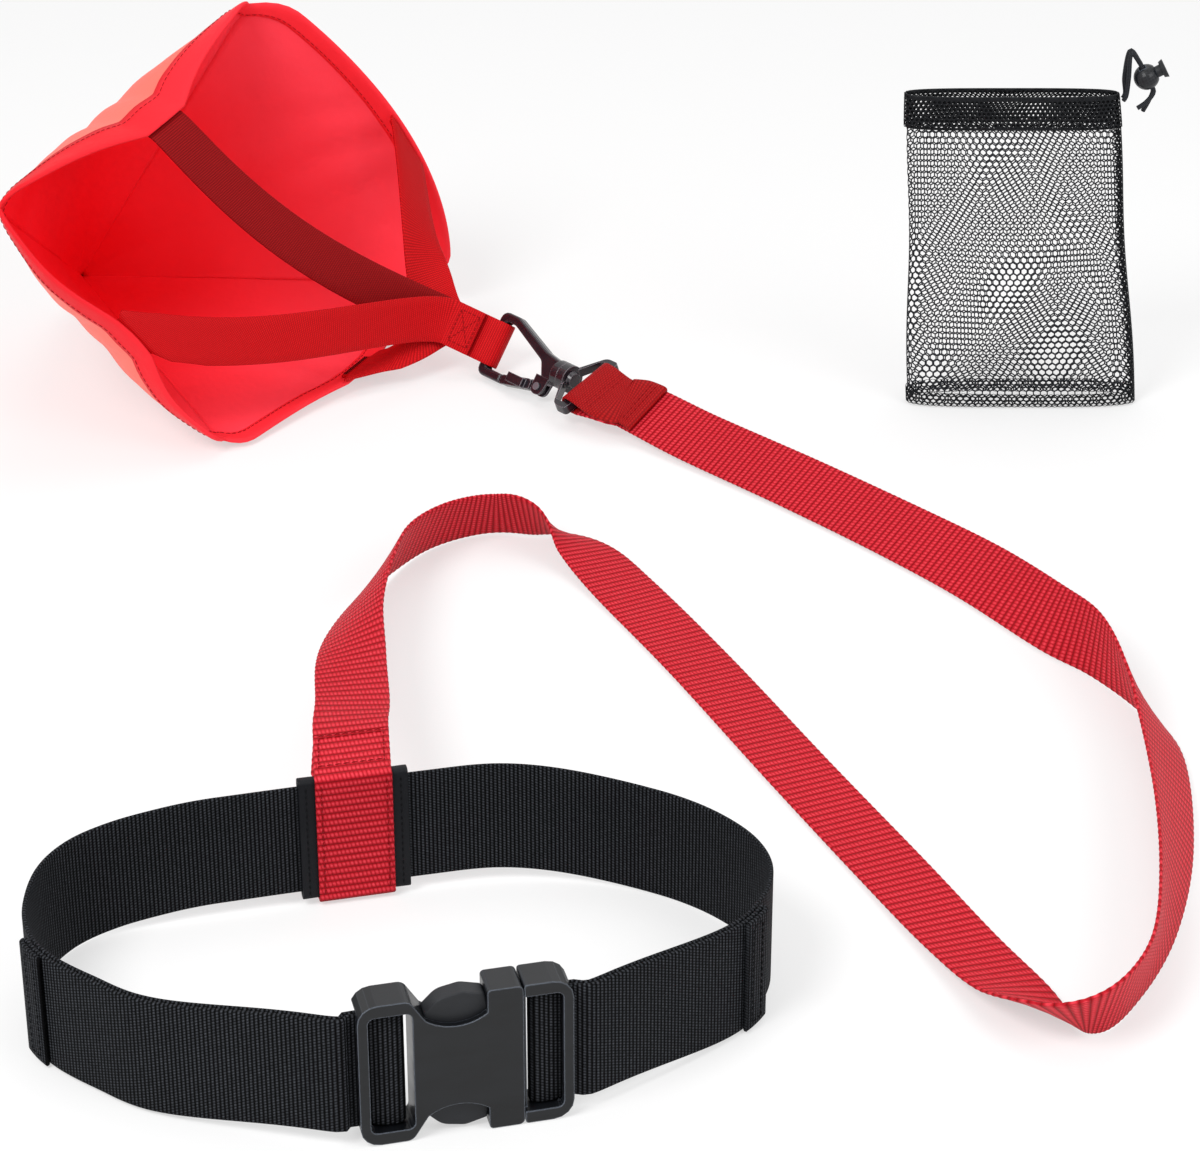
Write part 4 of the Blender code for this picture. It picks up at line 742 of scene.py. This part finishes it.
# Each bridle strap, in the order of the mouth's sides: its layer in the stack, how far its end
# reaches in behind the hem (mm), its pull and angle where it leaves the stack, and its sag (mm)
STRAPS = {"lower_right": (-1.5, 4, 0.5, 10, 4), "upper_right": (-2.5, 3, 0.45, -30, 7),
          "upper_left": (1.5, 10, 0.5, 3, 15), "lower_left": (2.5, 10, 0.4, 8, 12)}
SIDES = list(STRAPS)
BRIDLE_WIDTH, BRIDLE_THICK, BRIDLE_STACK = 25 * MM, 1.5 * MM, 16 * MM
HOOK_THICK, HOOK_BAR = 6 * MM, 5 * MM
HOOK_LENGTH, BRIDLE_SWING = 76 * MM, 46       # to the bow's middle; degrees round the bow
bow_mid = SWIVEL_AT - hook_x * HOOK_LENGTH
swing = Matrix.Rotation(radians(BRIDLE_SWING), 3, hook_y)
bridle_x, bridle_n = swing @ hook_x, swing @ hook_n
loop_r = math.hypot(HOOK_THICK, HOOK_BAR) / 2 + 0.5 * MM + BRIDLE_THICK / 2
STACK = BRIDLE_THICK + GAP
stack_start = -(loop_r + 6.5 * MM)


# How each side of the mouth departs from a straight line: the move of its middle, how fast that
# fades towards the apex, the cloth's swell behind it, and two small waves either side of the strap
SIDE_BOW = [Vector(v) * MM for v in ((12, -6, -1), (31, 1, 2), (18, 3, -16), (11, 3, -5))]
SIDE_FADE = [1.3, 1.3, 5.0, 5.0]
SIDE_SWELL = [5 * MM, 10 * MM, 19 * MM, 11 * MM]
SIDE_WAVE = [0.0, 0.0, 0.0, 5 * MM]
BLUNT = 11 * MM           # how far each corner of the mouth is rounded off


def bell(i, s, flat=0.07):
    """One over the strap's width, nothing at the corners; the upper right side is a full arc."""
    if i == 1:
        return max(0.0, sin(pi * s)) ** 0.7
    d = abs(s - 0.5)
    if d < flat:
        return 1.0
    f = (d - flat) / (0.5 - flat)
    return (1 - f) ** 1.15 * (1 - 0.25 * sin(pi * f))


panel_out = []
for i in range(4):
    a, b = corners[i], corners[(i + 1) % 4]
    normal = (b - a).cross(apex - a).normalized()
    panel_out.append(toward(normal, (a + b) / 2 - mouth_centre))


def panel_point(i, s, t):
    """Point of panel i: s along the mouth, t from the mouth to the apex."""
    a, b = corners[i], corners[(i + 1) % 4]
    edge = a.lerp(b, s) + SIDE_BOW[i] * bell(i, s) * (1 - t) ** SIDE_FADE[i]
    edge += panel_out[i] * SIDE_WAVE[i] * sin(2 * pi * s) ** 2 * (1 - t)
    point = edge.lerp(apex, t)
    across = max(0.0, sin(pi * s))
    down = max(0.0, sin(pi * math.sqrt(t)))
    billow = SIDE_SWELL[i] * across ** 0.8 * down ** 1.3
    # the hem rounds each corner of the mouth off, and the straps draw folds across the cloth
    near = min(s, 1 - s)
    blunt = BLUNT * max(0.0, 1 - near / 0.1) ** 2 * (1 - smooth(t / 0.14))
    corner = a if s < 0.5 else b
    point = point + (apex.lerp(mouth_centre, 0.5) - corner).normalized() * blunt
    d = (s - 0.5) / max(0.16 + 0.5 * t, 1e-6)
    pull = 1.0 * MM * math.exp(-d * d * 1.6) * cos(d * 9.0) * smooth(t / 0.1)
    pull *= (1 - t) ** 1.5 * min(1.0, 6 * near)
    wander = 0.9 * MM * sin(7.3 * s + 5.1 * t + i) * sin(9.7 * t - 3.3 * s + 2 * i)
    wander *= sin(pi * s) * sin(pi * t)
    point = point + panel_out[i] * (billow + pull + wander)
    point.z = max(point.z, 1.2 * MM)
    return point


def panel_normal(i, s, t):
    e = 0.004
    ds = panel_point(i, min(s + e, 1), t) - panel_point(i, max(s - e, 0), t)
    dt = panel_point(i, s, min(t + e, 1)) - panel_point(i, s, max(t - e, 0))
    return toward(ds.cross(dt).normalized(), panel_out[i])


def shell(name, rows, thick, mats, body, replaced=(), loop_rows=False):
    """Two skins half a thickness either side of rows of (point, normal, weave), joined round the
    rim. The first material is on the normals' side."""
    count, cols = len(rows), len(rows[0])
    layer = count * cols
    verts, weave, faces, kinds = [], [], [], []
    for side in (1, -1):
        for row in rows:
            for point, normal, place in row:
                verts.append(point + normal * side * thick / 2)
                weave.append((*place, side))
    last_row = count if loop_rows else count - 1
    for side in range(2):
        for r in range(last_row):
            for c in range(cols - 1):
                a = side * layer + r * cols + c
                b = side * layer + (r + 1) % count * cols + c
                faces.append((a, a + 1, b + 1, b))
                kinds.append(side)
    rim = [(r * cols + c, (r + 1) % count * cols + c) for r in range(last_row)
           for c in (0, cols - 1)]
    if not loop_rows:
        rim = [(r * cols + c, r * cols + c + 1) for r in (0, count - 1)
               for c in range(cols - 1)] + rim
    faces += [(a, b, b + layer, a + layer) for a, b in rim]
    kinds += [0] * len(rim)
    return make(name, verts, faces, mats, body, replaced, weave, kinds)


S_STEPS, T_STEPS = 60, 34     # along the mouth, and from it to just short of the apex
for i, side_name in enumerate(SIDES):
    rows = []
    for r in range(T_STEPS + 1):
        t = 0.9995 * (r / T_STEPS)
        rows.append([(panel_point(i, s, t),
                      panel_normal(i, min(max(s, 0.004), 0.996), min(t, 0.985)),
                      (0.2 * s * (1 - t), 0.2 * t))
                     for s in (k / S_STEPS for k in range(S_STEPS + 1))])
    name = "chute_panel_" + side_name
    # the outside skin has the paler copy of the cloth with painted light
    panel = shell(name, rows, CLOTH, [CHUTE_OUT_PAINTED_LIGHT, CHUTE_IN], "chute", (name,))
    a, b = corners[i], corners[(i + 1) % 4]

# Mouth hem: the cloth turned outside and back, sewn along its lower edge
HEM_WIDTH, HEM_HALF = 10 * MM, 1.9 * MM      # its width, and half its thickness with play
HEM_CLOTHS = [HEM_CLOTH, HEM_CLOTH]
# how far in, as a share of the hem's width, and how far out, in millimetres
HEM_FOLD = [(1.0, 0.85), (0.75, 1.05), (0.4, 1.1), (0.1, 1.05), (-0.06, 0.6), (-0.1, 0.0),
            (-0.06, -0.6), (0.1, -1.05), (0.4, -1.1), (0.75, -1.05), (1.0, -0.85)]


def hem_frames(steps):
    """Round the mouth: a share of the round in quarters, the edge's point, the cloth's outside,
    and the way into the chute."""
    for i in range(4):
        for k in range(steps):
            s = k / steps
            normal = panel_normal(i, max(s, 0.02), 0.03)
            if k == 0:
                normal = (normal + panel_normal((i - 1) % 4, 0.98, 0.03)).normalized()
            point = panel_point(i, s, 0)
            yield i + s, point, normal, panel_point(i, s, HEM_WIDTH / (apex - point).length) - point


rows = []
for place, point, normal, inward in hem_frames(44):
    line = [point + inward * d + normal * out * MM for d, out in HEM_FOLD]
    edge = inward.cross(normal).normalized()
    rows.append([(p, heading(line, j).cross(edge).normalized(),
                  (place * 0.2, HEM_FOLD[j][0] * HEM_WIDTH)) for j, p in enumerate(line)])
shell("mouth_hem", rows, 0.55 * MM, HEM_CLOTHS, "chute", ("mouth_hem",), True)
hem_lines = []
for side in (1, -1):
    line = [(point + inward * 0.8 + normal * side * 1.35 * MM, normal * side)
            for _, point, normal, inward in hem_frames(40)]
    hem_lines.append(line + line[:1])
stitches("hem_stitching", hem_lines, RED_THREAD, "chute", 3.4 * MM,
         radius=0.2 * MM)

# Seams between the panels: a felled ridge on the outside
for i, side_name in enumerate(SIDES):
    before = (i - 1) % 4
    rows = []
    for r in range(61):
        t = 0.05 + 0.93 * r / 60
        place = panel_point(i, 0, t)
        normal = (panel_normal(i, 0.01, t) + panel_normal(before, 0.99, t)).normalized()
        half = 3.0 * MM * min(1, (1 - t) * 8)
        step = min(0.04 / max(1 - t, 0.12), 0.5)
        right = (panel_point(i, step, t) - place).normalized() * half
        left = (panel_point(before, 1 - step, t) - place).normalized() * half
        lift = normal * 0.75 * MM
        ridge = (left + lift, left * 0.4 + lift * 1.3, lift * 1.6, right * 0.4 + lift * 1.3,
                 right + lift)
        rows.append([(place + off, normal, (0.001 * k, 0.2 * t)) for k, off in enumerate(ridge)])
    shell("chute_seam_" + side_name, rows, 0.5 * MM, HEM_CLOTHS, "chute")


def by_bow(along, out):
    return bow_mid + bridle_x * along + bridle_n * out


lead = [(stack_start - BRIDLE_STACK * f, STACK / 2) for f in (0.8, 0.4, 0.0)]
lead.append((stack_start * 0.55, loop_r * 0.8))
loop_points = ([by_bow(x, y) for x, y in lead]
               + arc(bow_mid, bridle_x * loop_r, bridle_n * loop_r, 100, -200, 16)
               + [by_bow(x, -y) for x, y in lead[::-1]])
loop_stations = fill([(p, hook_y) for p in loop_points], 1.2 * MM)
strap("bridle_loop", [(p, w, BRIDLE_WIDTH / 2) for p, w in loop_stations], BRIDLE_THICK,
      BRIDLE_RED, "chute", ("bridle_loop",))


def bridle_strap(i, side_name):
    layer, sewn_length, pull, fan, sag = STRAPS[side_name]
    a, b = corners[i], corners[(i + 1) % 4]
    half_s = BRIDLE_WIDTH / 2 / (b - a).length
    inner = HEM_HALF + BRIDLE_THICK / 2
    sign = 1 if (b - a).dot(hook_y) > 0 else -1
    if side_name == "upper_right":
        sign = -sign          # this strap turns the other way on its route

    def sewn(t):
        """Middle and width direction of the sewn end, behind the hem."""
        normal = panel_normal(i, 0.5, max(t, 0.02))
        first, second = panel_point(i, 0.5 - half_s, t), panel_point(i, 0.5 + half_s, t)
        return (first + second) / 2 - normal * inner, (second - first).normalized() * sign

    depth = sewn_length * MM / (apex - panel_point(i, 0.5, 0)).length
    mouth, mouth_width = sewn(0.0)
    start = by_bow(stack_start - BRIDLE_STACK, layer * STACK)
    fan = radians(fan)
    leaving = (bridle_n * sin(fan) - bridle_x * cos(fan)) * pull
    span = (mouth - start).length
    inward = (sewn(depth / 3)[0] - mouth).normalized()
    if side_name.endswith("right"):
        inward = (inward * 0.25 + (mouth - start).normalized()).normalized()
    line = [(by_bow(stack_start - BRIDLE_STACK * k / 8, layer * STACK), 0.0) for k in range(8)]
    count = max(24, round(span / (2 * MM)))
    for k in range(count):
        u = k / count
        place = (start * (2 * u ** 3 - 3 * u * u + 1)
                 + leaving * span * (u ** 3 - 2 * u * u + u)
                 + mouth * (3 * u * u - 2 * u ** 3) + inward * span * 0.4 * (u ** 3 - u * u))
        place.z -= sag * MM * sin(pi * u ** 1.2) ** 1.5
        line.append((place, u))
    line += [(sewn(depth * k / 6)[0], 1.0) for k in range(7)]
    places = [place for place, _ in line]
    stations = []
    for j, (place, u) in enumerate(line):
        ahead = heading(places, j)
        width = hook_y.lerp(mouth_width, smooth(u * 1.15))
        square = (width - ahead * width.dot(ahead)).normalized()
        # a strap that is sewn on at a slant has a longer seam
        slanted = square.lerp(width, smooth(u * 1.5)).normalized()
        half = BRIDLE_WIDTH / 2 / max(slanted.cross(ahead).length, 0.66)
        stations.append((place, slanted, half))
    # sewn through the strap, the hem and the cloth: two bars of close stitches
    bars = []
    for j in (len(line) - 2, len(line) - 4):
        place, width, half = stations[j]
        face = toward(heading(places, j).cross(width).normalized(), -panel_out[i])
        edge = half - 1.5 * MM
        bars.append([(place + width * side + face * BRIDLE_THICK / 2, face)
                     for side in (-edge, edge)])
    stitches("bridle_bar_tack_" + side_name, bars, DARK_THREAD, "chute",
             1.6 * MM, 0.85, 0.4 * MM)
    # the upper left strap wears the copy of the bridle webbing with painted shade
    strap("bridle_" + side_name, stations, BRIDLE_THICK,
          BRIDLE_SHADED if side_name == "upper_left" else BRIDLE_RED, "chute",
          ("bridle_" + side_name,), across=7)


for i, side_name in enumerate(SIDES):
    bridle_strap(i, side_name)


def stack_sewing():
    """A box with a cross through the stack of strap ends, on its front and back."""
    front, back, edge = stack_start - 2 * MM, stack_start - 13 * MM, 9 * MM
    box = [(front, -edge), (front, edge), (back, edge), (back, -edge)]
    lines = []
    for side in (1, -1):
        out = side * (2.5 * STACK + BRIDLE_THICK / 2)
        for ends in ((0, 1), (1, 2), (2, 3), (3, 0), (0, 2), (1, 3)):
            lines.append([(by_bow(box[k][0], out) + hook_y * box[k][1], bridle_n * side)
                          for k in ends])
    stitches("bridle_stack_stitching", lines, RED_THREAD, "chute", 2.6 * MM,
             radius=0.22 * MM)


stack_sewing()


# Storage bag: knitted net with a hem band, seams and a drawcord

BAG_X, BAG_Y, BAG_HEIGHT, BAG_HEM = 244 * MM, 191 * MM, 173 * MM, 18 * MM
BAG_LEAN = 14 * MM            # how far the mouth stands left of the foot
HEM_LOW = BAG_HEIGHT - BAG_HEM
NET_RING = 264                # points in a ring that the net is read from


def bag_ring(height, out, count):
    """Points evenly spaced round the bag's flat oval at a height."""
    f = height / BAG_HEIGHT
    half_w = (121 - 14 * f) / 2 * MM + out
    half_d = (20 - 8 * smooth(f * 1.1)) * MM / 2 + out
    dense = []
    for k in range(721):
        a = 2 * pi * k / 720
        c, s = cos(a), sin(a)
        dense.append((BAG_X - BAG_LEAN * f + half_w * math.copysign(abs(c) ** 0.55, c),
                      BAG_Y + half_d * math.copysign(abs(s) ** 0.7, s), height))
    total = lengths(dense)
    return [Vector(at_length(dense, total, total[-1] * k / count)) for k in range(count)]


ring_cache = {}


def net_point(col, row, cols, rows, low, high, out):
    """Point of the net: col around, row up, both in cells; it sags and stretches a little."""
    height = low + (high - low) * row / rows
    key = (round(height, 6), out)
    if key not in ring_cache:
        ring_cache[key] = bag_ring(height, out, NET_RING)
    ring = ring_cache[key]
    f = (col % cols) / cols * NET_RING
    a, b = ring[int(f) % NET_RING], ring[(int(f) + 1) % NET_RING]
    p = a.lerp(b, f - int(f))
    angle = 2 * pi * col / cols
    h = height / BAG_HEIGHT
    p.y += 1.3 * MM * sin(2.0 * angle + 5 * h) * sin(pi * h)
    p.x += 0.7 * MM * sin(3 * angle + 9 * h)
    p.z += 1.1 * MM * sin(angle * 2 + 1.0) * sin(pi * h)
    p.z = max(p.z, 0.6 * MM)
    return p


HEXAGON = [(0.5, 0.30), (0.0, 0.70), (-0.5, 0.30), (-0.5, -0.30), (0.0, -0.70), (0.5, -0.30)]


def net_piece(name, cols, rows, low, high, out, bar, mat=SEAM, replaced=(), span=None):
    """Hexagonal cells, each a thin frame of six bars. A span keeps only the columns within it
    either side of the right-hand edge, where the net is gathered into a seam."""
    verts, faces = [], []
    for row in range(rows):
        for col in range(-span, span) if span else range(cols):
            cx, cy = col + 0.5 * (row % 2) + 0.5, row + 0.5
            faces += skin(2, 6, len(verts), False)
            for share in (1.0, 1 - bar):
                for dx, dy in HEXAGON:
                    y = min(max(cy + dy * share, 0), rows)
                    verts.append(net_point(cx + dx * share, y, cols, rows, low, high, out))
    obj = make(name, verts, faces, mat, "storage_bag", replaced, merge=0.05 * MM)
    modifier = obj.modifiers.new("Thread", "SOLIDIFY")
    modifier.thickness = 0.4 * MM
    modifier.offset = 0


FOOT = 0.8 * MM               # the net's lowest edge
net_piece("bag_net", 66, 50, FOOT, HEM_LOW + 4.8 * MM, -0.6 * MM, 0.16, NET, ("bag_net",))
net_piece("bag_hem", 96, 9, HEM_LOW, BAG_HEIGHT, 0.9 * MM, 0.3, replaced=("bag_hem",))
net_piece("bag_hem_inside", 90, 8, HEM_LOW + 0.5 * MM, BAG_HEIGHT - 0.5 * MM, -0.2 * MM, 0.3)
net_piece("bag_side_seam", 84, 84, FOOT, HEM_LOW, 0.3 * MM, 0.36, span=2)
net_piece("bag_bottom_seam", 84, 4, FOOT, 8.5 * MM, 0.3 * MM, 0.3)


def bag_band(name, low, high, out):
    """A closed band of cloth round the bag, slightly waved."""
    levels, count = 4, 160
    rings = [bag_ring(low + (high - low) * r / levels, out, count) for r in range(levels + 1)]
    rows = []
    for k in range(count):
        row = []
        for r, ring in enumerate(rings):
            normal = toward((ring[k] - ring[k - 2]).cross(UP).normalized(),
                            ring[k] - Vector((BAG_X - BAG_LEAN, BAG_Y, ring[k].z)))
            wave = 0.35 * MM * sin(k * 0.9) * sin(pi * r / levels)
            row.append((ring[k] + normal * wave, normal,
                        (k * 1.6 * MM, (high - low) * r / levels)))
        rows.append(row)
    shell(name, rows, 0.8 * MM, [SEAM, SEAM], "storage_bag", loop_rows=True)


bag_band("bag_hem_top", BAG_HEIGHT - 2.2 * MM, BAG_HEIGHT, 0.6 * MM)
bag_band("bag_hem_foot", HEM_LOW, HEM_LOW + 1.2 * MM, 0.4 * MM)


# Drawcord through the cord lock

lock_at = Vector((298.0 * MM, BAG_Y, 181.5 * MM))
tilt = radians(28)
through = Vector((sin(tilt), 0, -cos(tilt)))
CORD_D = 2.4 * MM
STRAND = CORD_D / 2 + 0.25 * MM
cord_exit = Vector((BAG_X - BAG_LEAN + 53.5 * MM + 1.2 * MM + 1.0 * MM + CORD_D / 2, BAG_Y,
                    BAG_HEIGHT - 3.5 * MM))


def strand(name, side, rise, tail):
    """From the bag's hem through the lock to the loose end; side is -1 for the front strand."""
    inside = lock_at + Vector((0, side * STRAND, 0))
    points = [cord_exit + Vector((x, side * y, z)) * MM
              for x, y, z in ((0, 1.7, 0), (1.2, 2.2, 3), (rise, 2.0, 12))]
    points.append(inside - through * 15 * MM + Vector((-2.0, side * 0.8, 0)) * MM)
    points += [inside + through * d * MM for d in (-9, -3, 0, 3, 8.5)]
    points += [points[-1] + Vector(v) * MM for v in tail]
    line = [Vector(p) for p in spline([tuple(p) for p in points], CORD_D * 0.5)]
    total = lengths(line)
    verts, weave = [], []
    sides = 12
    for i, p in enumerate(line):
        ahead = heading(line, i)
        steep = abs(ahead.y) >= 0.95
        across = ahead.cross(Vector((1, 0, 0) if steep else (0, 1, 0))).normalized() * CORD_D / 2
        verts += arc(p, across, ahead.cross(across), 0, 360 - 360 / sides, sides - 1)
        weave += [(total[i], 4 * k / sides, 0) for k in range(sides)]
    obj = make(name, verts, skin(len(line), sides), CORD, "storage_bag", (name,),
               weave)
    path = [tuple(p + SHIFT) for p in line]
    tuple(path[0])


strand("drawcord_front", -1, 1.8, [(-3.5, -1.0, -5.0), (-8.0, -2.0, -8.0)])
strand("drawcord_back", 1, 0.2, [(-1.5, 1.0, -6.0), (-4.0, 2.0, -12.0)])


# Materials of the solids that show as they are

for mat, names in ((BUCKLE, ("buckle_socket", "buckle_plug", "cord_lock_body")),
                   (BUTTON, ("prong_upper", "prong_lower", "cord_lock_button")),
                   (HOOK, ("swivel_base", "hook_body", "hook_gate")), (PIN, ("hook_gate_pin",))):
    for node in names:
        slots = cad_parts[node].data.materials
        slots.clear()
        slots.append(mat)


# Floor, light and camera

WHITE = (1, 1, 1, 1)
FLOOR_GLOW = 0.55             # how much of the floor the camera sees as plain white
ROOM_LIGHT, ROOM_SEEN = 0.55, 0.45

floor_mesh = bpy.data.meshes.new("floor")
floor_mesh.from_pydata([(-8, -8, 0), (8, -8, 0), (8, 12, 0), (-8, 12, 0)], [], [(0, 1, 2, 3)])
floor = add_object("floor", floor_mesh)
floor.location.z = -0.3 * MM
g = Surface("floor_white", "F7F7F7", 0.9, Specular_IOR_Level=0.1)
glow = g.node("Emission", {"Color": WHITE, "Strength": 1.0})
blend = g.node("MixShader", {0: g.times(g.in_view(), FLOOR_GLOW),
                                       1: g.shader.outputs[0], 2: glow.outputs[0]})
g.feed(g.tree.nodes["Material Output"].inputs["Surface"], blend.outputs[0])
floor_mesh.materials.append(g.material)

world = bpy.data.worlds.new("studio")
scene.world = world
sky = Nodes(world)
background = sky.tree.nodes["Background"].inputs
sky.feed(background["Strength"], sky.math("MULTIPLY_ADD", sky.in_view(), ROOM_SEEN, ROOM_LIGHT))
sky.feed(background["Color"], WHITE)

for name, place, aim, size, power in (
        ("key", (-0.9, -1.1, 1.6), (0, 0, 0.05), 0.9, 25),
        ("fill", (1.3, -0.9, 1.2), (0, 0, 0.05), 1.2, 12),
        ("top", (0.2, 0.7, 1.7), (0, 0.1, 0), 1.2, 5)):
    light = bpy.data.lights.new(name, "AREA")
    light.shape = "DISK"
    light.size = size
    light.energy = power
    lamp = add_object(name, light)
    lamp.location = place
    lamp.rotation_euler = (Vector(aim) - Vector(place)).to_track_quat("-Z", "Y").to_euler()

camera_data = bpy.data.cameras.new("camera")
camera_data.lens = 105.0
camera_data.sensor_width = 36.0
camera_data.clip_start = 0.05
camera = add_object("camera", camera_data)
camera.location = CAMERA_AT + SHIFT
camera.rotation_euler = (CAMERA_TILT, 0, 0)
scene.camera = camera
scene.view_settings.view_transform = "Standard"
